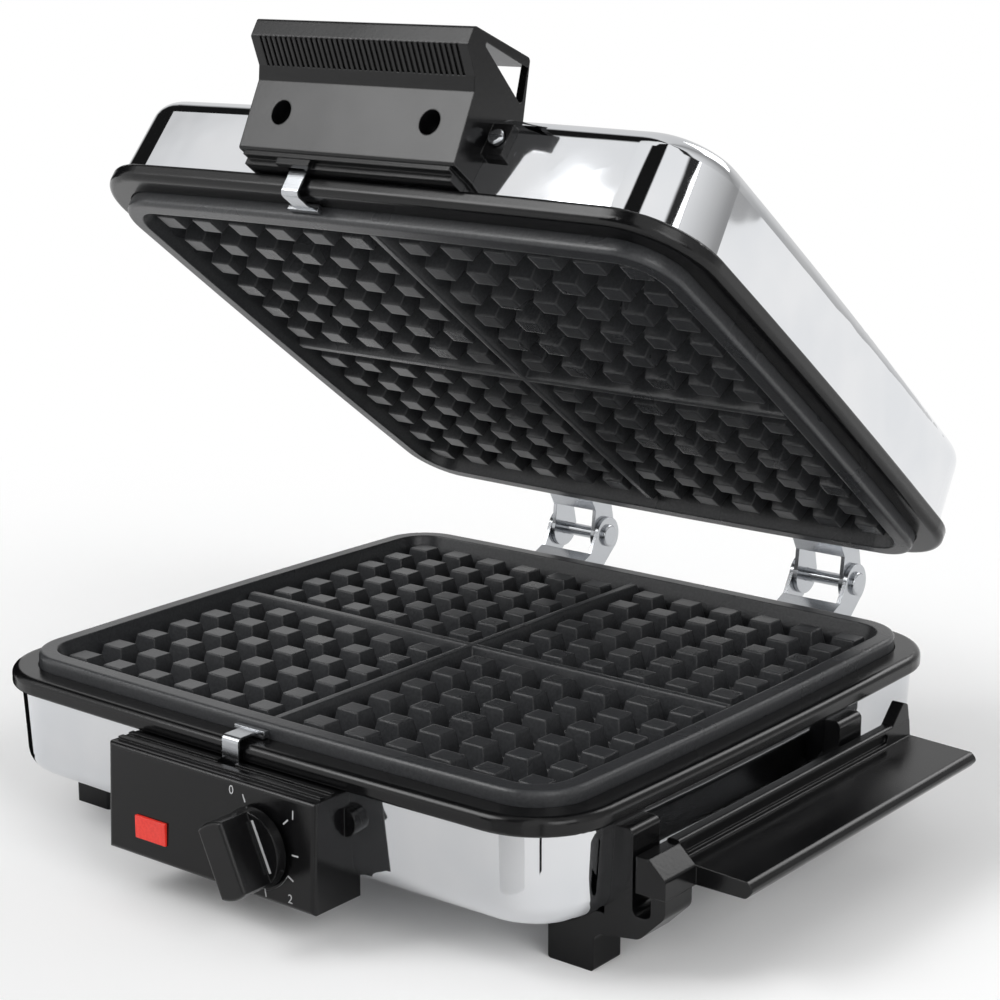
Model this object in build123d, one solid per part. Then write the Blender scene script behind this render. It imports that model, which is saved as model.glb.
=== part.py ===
from build123d import *
import os
from math import cos, radians, sin, sqrt, tan

# A household waffle maker with a chromed base and lid, two cast cooking plates and a side handle.
# Millimetres. X runs to the right, Y to the back and Z up. The origin is on the table, under the
# middle of the base. Parts of the lid are drawn closed and then swung open about the hinge pins.

# Base and lid are mirror images that meet at the mating plane
FRAME_WIDTH = 252.0
FRAME_DEPTH = 236.0
FRAME_CORNER_R = 28.0
SMALLEST_CORNER_R = 4.0
SIDE_BOW = 2.0
MATING_HEIGHT = 62.0
RIM_STAND = 5.0
FLANGE_HEIGHT = 6.0
FLANGE_TOP_R = 2.5
FLANGE_LOWER_R = 1.2
SHELL_HEIGHT = 31.0
SHELL_INSET = 3.0
SHELL_WALL = 0.8
SHELL_DRAFT = 3.0
SHELL_EDGE_R = 8.0

# Clearances
RUNNING_GAP = 0.05
SLIP_GAP = 0.3
RIM_GAP = 0.2

# Cooking plates
PLATE_INSET = 9.0
RIM_WIDTH = 6.0
RIM_EDGE_R = 1.5
CAVITY_DEPTH = 11.0
CAVITY_DRAFT = 20.0
PLATE_FLOOR = 3.5
LEDGE_WIDTH = 4.0
GRIDDLE_RIM = 2.5
GRIDDLE_RIM_WIDTH = 5.0
PEG_ROWS = 6
PEG_HEIGHT = 8.5
PEG_SPACE = 5.4
PEG_DRAFT = 11.0
DIVIDER_WIDTH = 7.0
DIVIDER_HEIGHT = 9.0
DIVIDER_DRAFT = 14.0
LUG_WIDTH = 12.0
LUG_REACH = 2.4
LUG_THICK = 1.2

# Plastic frames
LEDGE_HEIGHT = 3.0
SKIRT_HEIGHT = 10.0
SKIRT_WALL = 2.5
WEB_HEIGHT = 3.0
WEB_SIDE = 30.0
POST_R = 5.0
POST_INSET_X = 20.0
POST_INSET_FRONT = 41.0
POST_INSET_REAR = 28.0
BRACKET_INSET_REAR = 76.0
HINGE_BOSS_DEPTH = 5.0

# Screws
SCREW_R = 1.5
SCREW_HEAD_R = 2.8
SCREW_HEAD_HEIGHT = 1.9
SCREW_SLOT = 0.7
FOOT_SCREW_LENGTH = 26.0
FOOT_SCREW_RECESS = 9.0
WALL_SCREW_LENGTH = 9.0
PAN_SCREW_LENGTH = 3.0
SCREW_CUT = 4.0
SCREW_REACH = 30.0

# Hinges
LID_ANGLE = 36.5
HINGE_BEHIND = 27.0
HINGE_SPACING = 116.0
HINGE_WIDTH = 25.0
HINGE_SHEET = 1.6
EAR_GAP = 0.2
EAR_R = 7.5
EAR_LENGTH = 24.0
EAR_BELOW = 2.0
EAR_FRAME_GAP = 1.0
WEB_END_BACK = 11.5
WEB_END_DOWN = 5.5
PIN_R = 2.5
PIN_HEAD_R = 4.5
PIN_HEAD_HEIGHT = 1.6
HINGE_SCREW_SPREAD = 11.5
HINGE_SCREW_BELOW = 7.0

# Heating elements, their supports and the reflector pans
ELEMENT_R = 3.2
ELEMENT_BELOW = 3.0
ELEMENT_INSET_X = 38.0
ELEMENT_INSET_Y = 42.0
ELEMENT_BEND = 24.0
TERMINAL_X = 20.0
TERMINAL_BEND = 12.0
TERMINAL_INSET = 17.0
SUPPORT_WIDTH = 11.0
SUPPORT_LENGTH = 6.0
SUPPORT_Y = 38.0
SUPPORT_WRAP = 1.6
PAN_SHEET = 0.8
PAN_INSET = 26.0
PAN_FLANGE_INSET = 6.5
PAN_DEPTH = 9.0
PAN_SCREW_X = 60.0
PAN_SCREW_INSET = 5.5
PAN_BOSS_R = 4.0

# Control box on the front of the base
BOX_WIDTH = 90.0
BOX_DEPTH = 15.0
BOX_DROP = 5.0
BOX_LEAN = 2.5
BOX_OVERLAP = 3.0
BOX_WALL = 2.2
BOX_EDGE_R = 1.5
BOX_RIB = 1.0
BOX_RIB_PLACES = (4.5, 9.0)
BOX_LUG_R = 4.5
BOX_LUG_THICK = 3.0
BOX_LUG_BELOW = 10.0
BOX_SCREW_X = 40.0
BOX_SCREW_BELOW = 19.0
BOX_BOSS_R = 3.6
DIAL_X = 22.0
DIAL_BELOW = 19.0
DIAL_R = 13.0
DIAL_SKIRT = 3.5
DIAL_GRIP_WIDTH = 11.0
DIAL_GRIP_LENGTH = 25.0
DIAL_GRIP_HEIGHT = 11.5
DIAL_SKIRT_DRAFT = 8.0
DIAL_EDGE_R = 1.2
DIAL_STAND = 1.0
DIAL_OFF_ANGLE = 25.0
SHAFT_R = 3.0
SHAFT_DEPTH = 12.0
LENS_X = -25.0
LENS_BELOW = 25.5
LENS_WIDTH = 13.5
LENS_HEIGHT = 7.5
LENS_PROUD = 0.8
LENS_FLANGE = 1.5
LENS_FLANGE_THICK = 1.2
LAMP_R = 2.8
LAMP_LENGTH = 9.0
THERMOSTAT_WIDTH = 24.0
THERMOSTAT_HEIGHT = 22.0
THERMOSTAT_DEPTH = 10.0
THERMOSTAT_STAND = 2.5
BEARING_DEPTH = 4.5
WINDOW_HALF = 36.0
WINDOW_HEIGHT = 18.0
WINDOW_CUT = 6.0
BRACKET_REACH = 4.0

# Plate clips
CLIP_SHEET = 0.8
CLIP_WIDTH = 7.0
CLIP_BAR = 13.0
CLIP_STAND = 1.7
CLIP_ROOT_BELOW = 7.0
CLIP_BEAD_R = 1.2
CLIP_BEND = 1.2
CLIP_SWING = 12.0
CLIP_SEAT_HALF = 7.0
CLIP_SEAT_WALL = 3.0
CLIP_SEAT_REACH = 6.0
LOWER_CLIP_X = 0.0
UPPER_CLIP_X = -21.0

# Rear plate hooks
HOOK_X = 32.0
HOOK_WIDTH = 9.0
HOOK_SHEET = 1.0

# Lid handle
HANDLE_WIDTH = 90.0
HANDLE_WALL = 3.0
HANDLE_PLATE_ABOVE = 4.0
HANDLE_SCREW_X = 31.0
HANDLE_SCREW_ABOVE = 16.0
HANDLE_BOSS_R = 5.5
HANDLE_LUG_REACH = 8.0
HANDLE_LUG_ABOVE = 19.0
HANDLE_LUG_HEIGHT = 11.0
HANDLE_TOP_GAP = 0.5
HANDLE_TOP_EDGE_R = 1.4
HANDLE_LUG_FACE = 1.8
# Handle profiles: reach in front of the frame, height above the lid shell's edge, corner radius
HANDLE_OUTSIDE = [(7.5, 4.0, 1.0), (12.0, 27.0), (14.5, 31.0), (23.0, 36.5, 1.2), (23.5, 43.0, 1.2)]
HANDLE_INSIDE = [(20.4, 41.1), (20.2, 38.4), (11.6, 32.7), (9.1, 27.0), (4.6, 4.0)]
HANDLE_GUSSET_FRONT = [(7.0, 4.0), (11.5, 27.0), (14.0, 31.0), (21.8, 36.6), (22.2, 42.6)]
HANDLE_GUSSET_BACK = [(-13.5, 33.0, 1.5), (-13.0, 25.0), (-6.0, 4.0)]
HANDLE_WINDOW = [(17.5, 41.3, 0.8), (-4.4, 51.9, 1.2), (-10.4, 36.0, 1.5)]
HANDLE_TOP_BACK = 5.0
GRIP_RIB_PITCH = 2.2
GRIP_RIB_WIDTH = 1.1
GRIP_RIB_DEPTH = 0.9
HANDLE_LUG_BACK = 9.0
HANDLE_STEP_REACH = 6.5
HANDLE_BOSS_LENGTH = 14.0
HANDLE_HEAD_SEAT = 4.0
HANDLE_HEAD_ROOM = 1.2
PLINTH_INSET = 2.0
PLINTH_INSIDE = 6.0
PLINTH_HEIGHT = 3.2
PLINTH_REACH = 7.0
NUT_SIDE = 7.0
NUT_THICK = 2.4

# Side handle and its brackets
SHELF_REACH = 34.0
SHELF_ABOVE = 15.5
SHELF_THICK = 6.0
SHELF_SETBACK = 9.0
SHELF_INSET_REAR = 46.0
LIP_GAP = 3.5
LIP_THICK = 4.5
LIP_BELOW = 9.0
LIP_SLOT_HEIGHT = 3.4
LIP_SLOT_DEPTH = 0.9
SLOT_MARGIN = 3.0
LIP_EAR_HEIGHT = 6.5
LIP_EAR_LENGTH = 12.0
BRACKET_THICK = 14.0
BRACKET_WALL = 1.2
BRACKET_INSET = 7.6
ARM_DROP = 5.0
ARM_BEND = 9.0
FOOT_LENGTH = 17.0
FOOT_EDGE_R = 1.5
BRACKET_ARM_REACH = 14.0

# Base floor, vents, wiring and supply
VENT_LENGTH = 34.0
VENT_WIDTH = 4.0
VENT_PITCH = 14.0
VENT_COUNT = 7
VENT_ROW_Y = 34.0
GLAND_INSET = 41.0
GLAND_ABOVE = 12.0
GLAND_R = 4.5
GLAND_FLANGE_R = 7.0
GLAND_FLANGE = 2.0
BUSH_NECK = 3.0
GLAND_BORE_R = 3.2
GROMMET_X = 8.0
GROMMET_ABOVE = 13.0
GROMMET_R = 4.0
GROMMET_FLANGE_R = 5.8
GROMMET_BORE_R = 2.4
BLOCK_X = -64.0
BLOCK_INSET = 22.0
BLOCK_LENGTH = 32.0
BLOCK_WIDTH = 13.0
BLOCK_HEIGHT = 9.0
TERMINAL_R = 2.5
TERMINAL_DEPTH = 4.0
FUSE_X = 40.0
FUSE_R = 2.0
FUSE_LENGTH = 14.0
LEAD_R = 1.2
LEAD_ABOVE = 6.0
LEAD_BEND = 8.0
LEAD_RUN = 50.0

# Levels that follow from the sizes above
FRAME_TOP = MATING_HEIGHT - RIM_STAND
SHELL_TOP = FRAME_TOP - FLANGE_HEIGHT
SHELL_BOTTOM = SHELL_TOP - SHELL_HEIGHT
SHELL_FLOOR = SHELL_BOTTOM + SHELL_WALL
LEDGE_TOP = SHELL_TOP + LEDGE_HEIGHT
SKIRT_BOTTOM = SHELL_TOP - SKIRT_HEIGHT
WEB_TOP = SKIRT_BOTTOM + WEB_HEIGHT
RIM_TOP = MATING_HEIGHT - RIM_GAP / 2
CAVITY_FLOOR = RIM_TOP - CAVITY_DEPTH
PLATE_UNDERSIDE = CAVITY_FLOOR - PLATE_FLOOR
PLATE_BOTTOM = PLATE_UNDERSIDE - GRIDDLE_RIM
TUB_INSET = PLATE_INSET + LEDGE_WIDTH
SKIRT_INSET = SHELL_INSET + SHELL_WALL + SKIRT_HEIGHT * tan(radians(SHELL_DRAFT)) + SLIP_GAP
PAN_FLOOR = SKIRT_BOTTOM - PAN_DEPTH
POST_X = FRAME_WIDTH / 2 - POST_INSET_X
POST_FRONT_Y = -(FRAME_DEPTH / 2 - POST_INSET_FRONT)
POST_REAR_Y = FRAME_DEPTH / 2 - POST_INSET_REAR
BRACKET_REAR_Y = FRAME_DEPTH / 2 - BRACKET_INSET_REAR
HALF_SPACING = HINGE_SPACING / 2
HINGE_Y = FRAME_DEPTH / 2 + HINGE_BEHIND
HINGE_SCREW_Z = SHELL_TOP - HINGE_SCREW_BELOW
EAR_HIGH = SHELL_TOP - EAR_BELOW
EAR_LOW = EAR_HIGH - EAR_LENGTH
ELEMENT_X = FRAME_WIDTH / 2 - ELEMENT_INSET_X
ELEMENT_Y = FRAME_DEPTH / 2 - ELEMENT_INSET_Y
ELEMENT_Z = SKIRT_BOTTOM - ELEMENT_BELOW
TERMINAL_END_Y = FRAME_DEPTH / 2 - TERMINAL_INSET
BOX_BOTTOM = SHELL_BOTTOM - BOX_DROP
BOX_TOP = SHELL_TOP - SLIP_GAP
BOX_LUG_Z = SHELL_TOP - BOX_LUG_BELOW
BOX_SCREW_Z = SHELL_TOP - BOX_SCREW_BELOW
DIAL_Z = SHELL_TOP - DIAL_BELOW
LENS_Z = SHELL_TOP - LENS_BELOW
LID_HEIGHT = 2 * MATING_HEIGHT
LID_SHELL_EDGE = LID_HEIGHT - SHELL_TOP
HANDLE_SCREW_Z = LID_SHELL_EDGE + HANDLE_SCREW_ABOVE
HANDLE_LUG_Z = LID_SHELL_EDGE + HANDLE_LUG_ABOVE
SHELF_OUTER_X = FRAME_WIDTH / 2 + SHELF_REACH
SHELF_TOP = SHELL_BOTTOM + SHELF_ABOVE
SHELF_FRONT_Y = POST_FRONT_Y + SHELF_SETBACK
SHELF_REAR_Y = FRAME_DEPTH / 2 - SHELF_INSET_REAR
LIP_X = FRAME_WIDTH / 2 + LIP_GAP
LIP_TOP = SHELL_TOP - LIP_BELOW
BRACKET_ARM_X = FRAME_WIDTH / 2 + BRACKET_ARM_REACH
GLAND_X = -(FRAME_WIDTH / 2 - GLAND_INSET)
GLAND_Z = SHELL_BOTTOM + GLAND_ABOVE
GROMMET_Z = SHELL_BOTTOM + GROMMET_ABOVE
BLOCK_Y = FRAME_DEPTH / 2 - BLOCK_INSET
LEAD_Z = SHELL_BOTTOM + LEAD_ABOVE
FRONT_POSTS = [(-POST_X, POST_FRONT_Y), (POST_X, POST_FRONT_Y)]
REAR_POSTS = [(-POST_X, POST_REAR_Y), (POST_X, POST_REAR_Y)]
BASE_POSTS = [*FRONT_POSTS, *REAR_POSTS, (POST_X, BRACKET_REAR_Y)]
LID_POSTS = [*FRONT_POSTS, *REAR_POSTS]


# General shapes

def outline(inset):
    """Rounded rectangle with bowed sides, this far inside the frame's outer edge."""
    x = FRAME_WIDTH / 2 - inset
    y = FRAME_DEPTH / 2 - inset
    corner_x = x - SIDE_BOW
    corner_y = y - SIDE_BOW
    sides = [
        ThreePointArc((corner_x, -corner_y), (x, 0), (corner_x, corner_y)),
        ThreePointArc((corner_x, corner_y), (0, y), (-corner_x, corner_y)),
        ThreePointArc((-corner_x, corner_y), (-x, 0), (-corner_x, -corner_y)),
        ThreePointArc((-corner_x, -corner_y), (0, -y), (corner_x, -corner_y)),
    ]
    face = make_face(sides)
    return fillet(face.vertices(), max(FRAME_CORNER_R - inset, SMALLEST_CORNER_R))


def slab(inset, low, high):
    """Upright solid with the bowed outline, between two levels."""
    return extrude(Pos(0, 0, low) * outline(inset), amount=high - low)


def bowl(inset, height, edge_r):
    """Solid pan that tapers downwards from the top of the base shell."""
    body = extrude(Pos(0, 0, SHELL_TOP) * outline(inset), amount=height, dir=(0, 0, -1), taper=SHELL_DRAFT)
    return fillet(body.edges().group_by(Axis.Z)[0], edge_r)


def envelope(gap):
    """Outside of the base shell, grown by a gap, for fitting its neighbours."""
    return bowl(SHELL_INSET - gap, SHELL_HEIGHT + gap, SHELL_EDGE_R)


def wall_y(x, z):
    """How far the outside of the shell's front or back wall lies from the middle."""
    half_chord = FRAME_WIDTH / 2 - SHELL_INSET - SIDE_BOW
    bow_r = (half_chord ** 2 + SIDE_BOW ** 2) / (2 * SIDE_BOW)
    bowed_in = bow_r - sqrt(bow_r ** 2 - x ** 2)
    return FRAME_DEPTH / 2 - SHELL_INSET - bowed_in - (SHELL_TOP - z) * tan(radians(SHELL_DRAFT))


def wall_plane(x, z, side):
    """Plane on the outside of the front (-1) or back (1) wall, facing outwards."""
    lean = radians(SHELL_DRAFT)
    return Plane(origin=(x, side * wall_y(x, z), z), x_dir=(1, 0, 0), z_dir=(0, side * cos(lean), -sin(lean)))


def block(x_low, x_high, y_low, y_high, z_low, z_high):
    """Box between two corners."""
    centre = Pos((x_low + x_high) / 2, (y_low + y_high) / 2, (z_low + z_high) / 2)
    return centre * Box(x_high - x_low, y_high - y_low, z_high - z_low)


def corner_rounded(points):
    """Face through points (a, b) or (a, b, r), where r rounds that corner."""
    face = make_face(Polyline(*[(p[0], p[1]) for p in points], close=True))
    for point in points:
        if len(point) == 3:
            nearest = face.vertices().sort_by_distance((point[0], point[1], 0))[0]
            face = fillet(nearest, point[2])
    return face


def side_profile(points, x_low, x_high):
    """Solid whose outline is given in (y, z) and runs from x_low to x_high."""
    return extrude(Plane.YZ.offset(x_low) * corner_rounded(points), amount=x_high - x_low, dir=(1, 0, 0))


def front_profile(points, y_low, y_high):
    """Solid whose outline is given in (x, z) and runs from y_low to y_high."""
    plane = Plane(origin=(0, y_low, 0), x_dir=(1, 0, 0), z_dir=(0, -1, 0))
    return extrude(plane * corner_rounded(points), amount=y_high - y_low, dir=(0, 1, 0))


def rod(plane, r, low, high):
    """Round bar along a plane's normal, between two distances from the plane."""
    return plane * Pos(0, 0, (low + high) / 2) * Cylinder(r, high - low)


def upright(x, y, r, low, high):
    """Round bar along Z."""
    return Pos(x, y, (low + high) / 2) * Cylinder(r, high - low)


def screw(length):
    """Slotted pan-head screw with its head above the origin and its shank below."""
    head = Pos(0, 0, SCREW_HEAD_HEIGHT / 2) * Cylinder(SCREW_HEAD_R, SCREW_HEAD_HEIGHT)
    head = fillet(head.edges().group_by(Axis.Z)[-1], SCREW_SLOT)
    slot = Pos(0, 0, SCREW_HEAD_HEIGHT) * Box(2 * SCREW_HEAD_R, SCREW_SLOT, SCREW_SLOT)
    return head - slot + Pos(0, 0, -length / 2) * Cylinder(SCREW_R, length)


def mirrored(part):
    """The same piece on the lid's side of the mating plane, with the lid closed."""
    return part.mirror(Plane.XY.offset(MATING_HEIGHT))


def opened(part):
    """Swing a piece of the closed lid up to where the lid stands."""
    return part.rotate(Axis((0, HINGE_Y, MATING_HEIGHT), (1, 0, 0)), -LID_ANGLE)


# Shells

def hinge_screw_planes():
    """Where the hinge screws pass through the back wall."""
    offsets = (-HINGE_SCREW_SPREAD / 2, HINGE_SCREW_SPREAD / 2)
    return [wall_plane(side * HALF_SPACING + dx, HINGE_SCREW_Z, 1) for side in (-1, 1) for dx in offsets]


def wall_hole(plane, r):
    """Cut for a round hole through a shell's wall."""
    return rod(plane, r, -SCREW_CUT, SCREW_CUT / 2)


def plain_shell():
    """Deep-drawn chromed pan with the holes that base and lid share."""
    inner = bowl(SHELL_INSET + SHELL_WALL, SHELL_HEIGHT - SHELL_WALL, SHELL_EDGE_R - SHELL_WALL)
    shell = bowl(SHELL_INSET, SHELL_HEIGHT, SHELL_EDGE_R) - inner
    holes = [wall_hole(plane, SCREW_R + SLIP_GAP) for plane in hinge_screw_planes()]
    return shell - [*holes, wall_hole(wall_plane(GROMMET_X, GROMMET_Z, 1), GROMMET_R + RUNNING_GAP)]


def base_shell():
    """Base pan: vents and screw holes in its floor, a window behind the control box."""
    cuts = [upright(x, y, SCREW_R + SLIP_GAP, SHELL_BOTTOM - 1, SHELL_FLOOR + 1) for x, y in BASE_POSTS]
    slots = [loc * SlotOverall(VENT_LENGTH, VENT_WIDTH, rotation=90)
             for loc in GridLocations(VENT_PITCH, 2 * VENT_ROW_Y, VENT_COUNT, 2)]
    cuts.append(extrude(Pos(0, 0, SHELL_BOTTOM - 1) * (Sketch() + slots), amount=SHELL_WALL + 2))
    front = wall_y(0, SHELL_TOP)
    low = DIAL_Z - WINDOW_HEIGHT / 2
    cuts.append(block(-WINDOW_HALF, WINDOW_HALF, -front - 2, -front + WINDOW_CUT, low, low + WINDOW_HEIGHT))
    cuts += [wall_hole(plane, SCREW_R + SLIP_GAP) for plane in box_screw_planes()]
    cuts.append(wall_hole(wall_plane(GLAND_X, GLAND_Z, 1), GLAND_R + RUNNING_GAP))
    return plain_shell() - cuts


def handle_screw_planes():
    """Where the lid handle's screws pass through the front wall, drawn on the base's side."""
    low = LID_HEIGHT - HANDLE_SCREW_Z
    lug = LID_HEIGHT - HANDLE_LUG_Z
    lug_x = HANDLE_WIDTH / 2 + HANDLE_LUG_REACH / 2
    return ([wall_plane(side * HANDLE_SCREW_X, low, -1) for side in (-1, 1)],
            [wall_plane(side * lug_x, lug, -1) for side in (-1, 1)])


def lid_shell():
    """Lid pan with holes for the handle's four screws."""
    plate_screws, lug_screws = handle_screw_planes()
    return plain_shell() - [wall_hole(plane, SCREW_R + SLIP_GAP) for plane in plate_screws + lug_screws]


# Frames

def frame(posts, screwed_from_inside):
    """Plastic frame: flange, ledge for the plate, skirt inside the shell and screw posts."""
    flange = slab(0, SHELL_TOP, FRAME_TOP)
    flange = fillet(flange.edges().group_by(Axis.Z)[-1], FLANGE_TOP_R)
    flange = fillet(flange.edges().group_by(Axis.Z)[0], FLANGE_LOWER_R)
    ring = flange + slab(SKIRT_INSET, SKIRT_BOTTOM, SHELL_TOP)
    ring -= slab(PLATE_INSET - SLIP_GAP, LEDGE_TOP, FRAME_TOP + 1)
    ring -= slab(TUB_INSET - SLIP_GAP, SHELL_TOP, LEDGE_TOP)
    ring -= slab(SKIRT_INSET + SKIRT_WALL, SKIRT_BOTTOM, SHELL_TOP)
    inside = slab(SKIRT_INSET, SKIRT_BOTTOM, SHELL_TOP)
    below_plate = PLATE_BOTTOM - SLIP_GAP
    for x, y in posts:
        web = block(x - WEB_SIDE / 2, x + WEB_SIDE / 2, y - POST_R, y + POST_R, SKIRT_BOTTOM, WEB_TOP)
        ring += web & inside
        ring += upright(x, y, POST_R, SHELL_FLOOR, below_plate)
    skirt_inner_y = FRAME_DEPTH / 2 - SKIRT_INSET - SKIRT_WALL
    for side in (-1, 1):
        x = side * HALF_SPACING
        boss = block(x - HINGE_WIDTH / 2, x + HINGE_WIDTH / 2, skirt_inner_y - HINGE_BOSS_DEPTH,
                     skirt_inner_y + SKIRT_WALL / 2, SKIRT_BOTTOM, SHELL_TOP)
        ring += boss - slab(TUB_INSET - SLIP_GAP, PLATE_BOTTOM - 1, LEDGE_TOP).mirror(Plane.XZ)
    for x, y in pan_screw_places():
        ring += upright(x, y, PAN_BOSS_R, SKIRT_BOTTOM, below_plate)
        ring -= upright(x, y, SCREW_R + RUNNING_GAP, SKIRT_BOTTOM - 1, below_plate - 1)
    for plane in hinge_screw_planes():
        ring -= rod(plane, SCREW_R + RUNNING_GAP, -WALL_SCREW_LENGTH, 1)
    for x, y in posts:
        if screwed_from_inside:
            ring -= upright(x, y, SCREW_R + RUNNING_GAP, SHELL_FLOOR - 1, below_plate + 1)
            seat = below_plate - SCREW_HEAD_HEIGHT - 1
            ring -= upright(x, y, SCREW_HEAD_R + SLIP_GAP, seat, below_plate + 1)
        else:
            top = FOOT_SCREW_RECESS + FOOT_SCREW_LENGTH + 1
            ring -= upright(x, y, SCREW_R + RUNNING_GAP, SHELL_FLOOR - 1, top)
    return ring


def pan_screw_places():
    """Screws that hold the reflector pan up to the frame's skirt."""
    y = FRAME_DEPTH / 2 - SKIRT_INSET - PAN_SCREW_INSET
    x = FRAME_WIDTH / 2 - SKIRT_INSET - PAN_SCREW_INSET
    return [(-PAN_SCREW_X, -y), (PAN_SCREW_X, -y), (-x, 0), (x, 0)]


# Cooking plates

def peg_grid(floor_width, floor_depth):
    """Square pegs in four quadrants of the plate's floor."""
    pitch_x = (floor_width - DIVIDER_WIDTH) / 2 / PEG_ROWS
    pitch_y = (floor_depth - DIVIDER_WIDTH) / 2 / PEG_ROWS
    foot = Pos(0, 0, CAVITY_FLOOR) * Rectangle(pitch_x - PEG_SPACE, pitch_y - PEG_SPACE)
    peg = extrude(foot, amount=PEG_HEIGHT, taper=PEG_DRAFT)
    quadrants = GridLocations((floor_width + DIVIDER_WIDTH) / 2, (floor_depth + DIVIDER_WIDTH) / 2, 2, 2)
    places = GridLocations(pitch_x, pitch_y, PEG_ROWS, PEG_ROWS)
    return [quadrant * place * peg for quadrant in quadrants for place in places]


def cooking_plate(clip_x):
    """Cast plate with a peg grid on one face and a flat griddle on the other."""
    plate = slab(PLATE_INSET, LEDGE_TOP, RIM_TOP)
    plate = fillet(plate.edges().group_by(Axis.Z)[-1], RIM_EDGE_R)
    plate += slab(TUB_INSET, PLATE_BOTTOM, LEDGE_TOP)
    slope = CAVITY_DEPTH * tan(radians(CAVITY_DRAFT))
    mouth = Pos(0, 0, RIM_TOP) * outline(PLATE_INSET + RIM_WIDTH)
    plate -= loft([Pos(0, 0, CAVITY_FLOOR) * outline(PLATE_INSET + RIM_WIDTH + slope), mouth])
    plate -= slab(TUB_INSET + GRIDDLE_RIM_WIDTH, PLATE_BOTTOM - 1, PLATE_UNDERSIDE)
    floor_width = FRAME_WIDTH - 2 * (PLATE_INSET + RIM_WIDTH + slope)
    floor_depth = FRAME_DEPTH - 2 * (PLATE_INSET + RIM_WIDTH + slope)
    divider = Part()
    for size in ((floor_width + slope, DIVIDER_WIDTH), (DIVIDER_WIDTH, floor_depth + slope)):
        foot = Pos(0, 0, CAVITY_FLOOR) * Rectangle(*size)
        divider += extrude(foot, amount=DIVIDER_HEIGHT, taper=DIVIDER_DRAFT)
    plate += divider
    plate += peg_grid(floor_width, floor_depth)
    edge_y = FRAME_DEPTH / 2 - PLATE_INSET
    front_lug = block(clip_x - LUG_WIDTH / 2, clip_x + LUG_WIDTH / 2, -edge_y - LUG_REACH, -edge_y + 2,
                      FRAME_TOP + SLIP_GAP, FRAME_TOP + SLIP_GAP + LUG_THICK)
    plate += front_lug
    for side in (-1, 1):
        x = side * HOOK_X
        plate += block(x - LUG_WIDTH / 2, x + LUG_WIDTH / 2, edge_y - 2, edge_y + LUG_REACH,
                       FRAME_TOP + SLIP_GAP, FRAME_TOP + SLIP_GAP + LUG_THICK)
    return plate


def plate_hooks():
    """Steel hooks on the frame that hold down the plate's two rear lugs."""
    edge_y = FRAME_DEPTH / 2 - PLATE_INSET
    lug_top = FRAME_TOP + SLIP_GAP + LUG_THICK
    back = edge_y + LUG_REACH + SLIP_GAP
    hooks = Part()
    for side in (-1, 1):
        low = side * HOOK_X - HOOK_WIDTH / 2
        high = side * HOOK_X + HOOK_WIDTH / 2
        hook = block(low, high, edge_y + SLIP_GAP, back + HOOK_SHEET, lug_top + SLIP_GAP / 2,
                     lug_top + SLIP_GAP / 2 + HOOK_SHEET)
        hook += block(low, high, back, back + HOOK_SHEET, FRAME_TOP, lug_top + HOOK_SHEET)
        hook += block(low, high, back, back + 2 * HOOK_SHEET, FRAME_TOP, FRAME_TOP + HOOK_SHEET)
        hooks += hook
    return hooks


# Heating

def element_path():
    """Centre line of the tubular element, from one terminal round to the other."""
    points = [(-TERMINAL_X, TERMINAL_END_Y), (-TERMINAL_X, ELEMENT_Y), (-ELEMENT_X, ELEMENT_Y),
              (-ELEMENT_X, -ELEMENT_Y), (ELEMENT_X, -ELEMENT_Y), (ELEMENT_X, ELEMENT_Y),
              (TERMINAL_X, ELEMENT_Y), (TERMINAL_X, TERMINAL_END_Y)]
    radii = [TERMINAL_BEND] + [ELEMENT_BEND] * 4 + [TERMINAL_BEND]
    return FilletPolyline(*[(x, y, ELEMENT_Z) for x, y in points], radius=radii)


def heating_element():
    """Tubular heating element under the plate."""
    path = element_path()
    section = Plane(origin=path @ 0, z_dir=path % 0) * Circle(ELEMENT_R)
    return sweep(section, path=path)


def element_supports():
    """Four saddles that carry the element on the reflector pan."""
    supports = Part()
    for x in (-ELEMENT_X, ELEMENT_X):
        for y in (-SUPPORT_Y, SUPPORT_Y):
            saddle = block(x - SUPPORT_WIDTH / 2, x + SUPPORT_WIDTH / 2, y - SUPPORT_LENGTH / 2,
                           y + SUPPORT_LENGTH / 2, PAN_FLOOR + PAN_SHEET, ELEMENT_Z + SUPPORT_WRAP)
            groove = Plane(origin=(x, y, ELEMENT_Z), z_dir=(0, 1, 0))
            supports += saddle - rod(groove, ELEMENT_R + RUNNING_GAP, -SUPPORT_LENGTH, SUPPORT_LENGTH)
    return supports


def reflector():
    """Bright pan under the element, hung from the frame's skirt by its flange."""
    top = SKIRT_BOTTOM
    pan = slab(PAN_FLANGE_INSET, top - PAN_SHEET, top)
    pan += slab(PAN_INSET, PAN_FLOOR, top - PAN_SHEET)
    pan -= slab(PAN_INSET + PAN_SHEET, PAN_FLOOR + PAN_SHEET, top)
    for x, y in BASE_POSTS:
        pan -= upright(x, y, POST_R + SLIP_GAP, PAN_FLOOR - 1, top + 1)
    for x, y in pan_screw_places():
        pan -= upright(x, y, SCREW_R + SLIP_GAP, PAN_FLOOR - 1, top + 1)
    half = ELEMENT_R + SLIP_GAP
    low = FRAME_DEPTH / 2 - PAN_INSET - 2 * PAN_SHEET
    for x in (-TERMINAL_X, TERMINAL_X):
        pan -= block(x - half, x + half, low, FRAME_DEPTH / 2, ELEMENT_Z - half, top + 1)
    return pan


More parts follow.
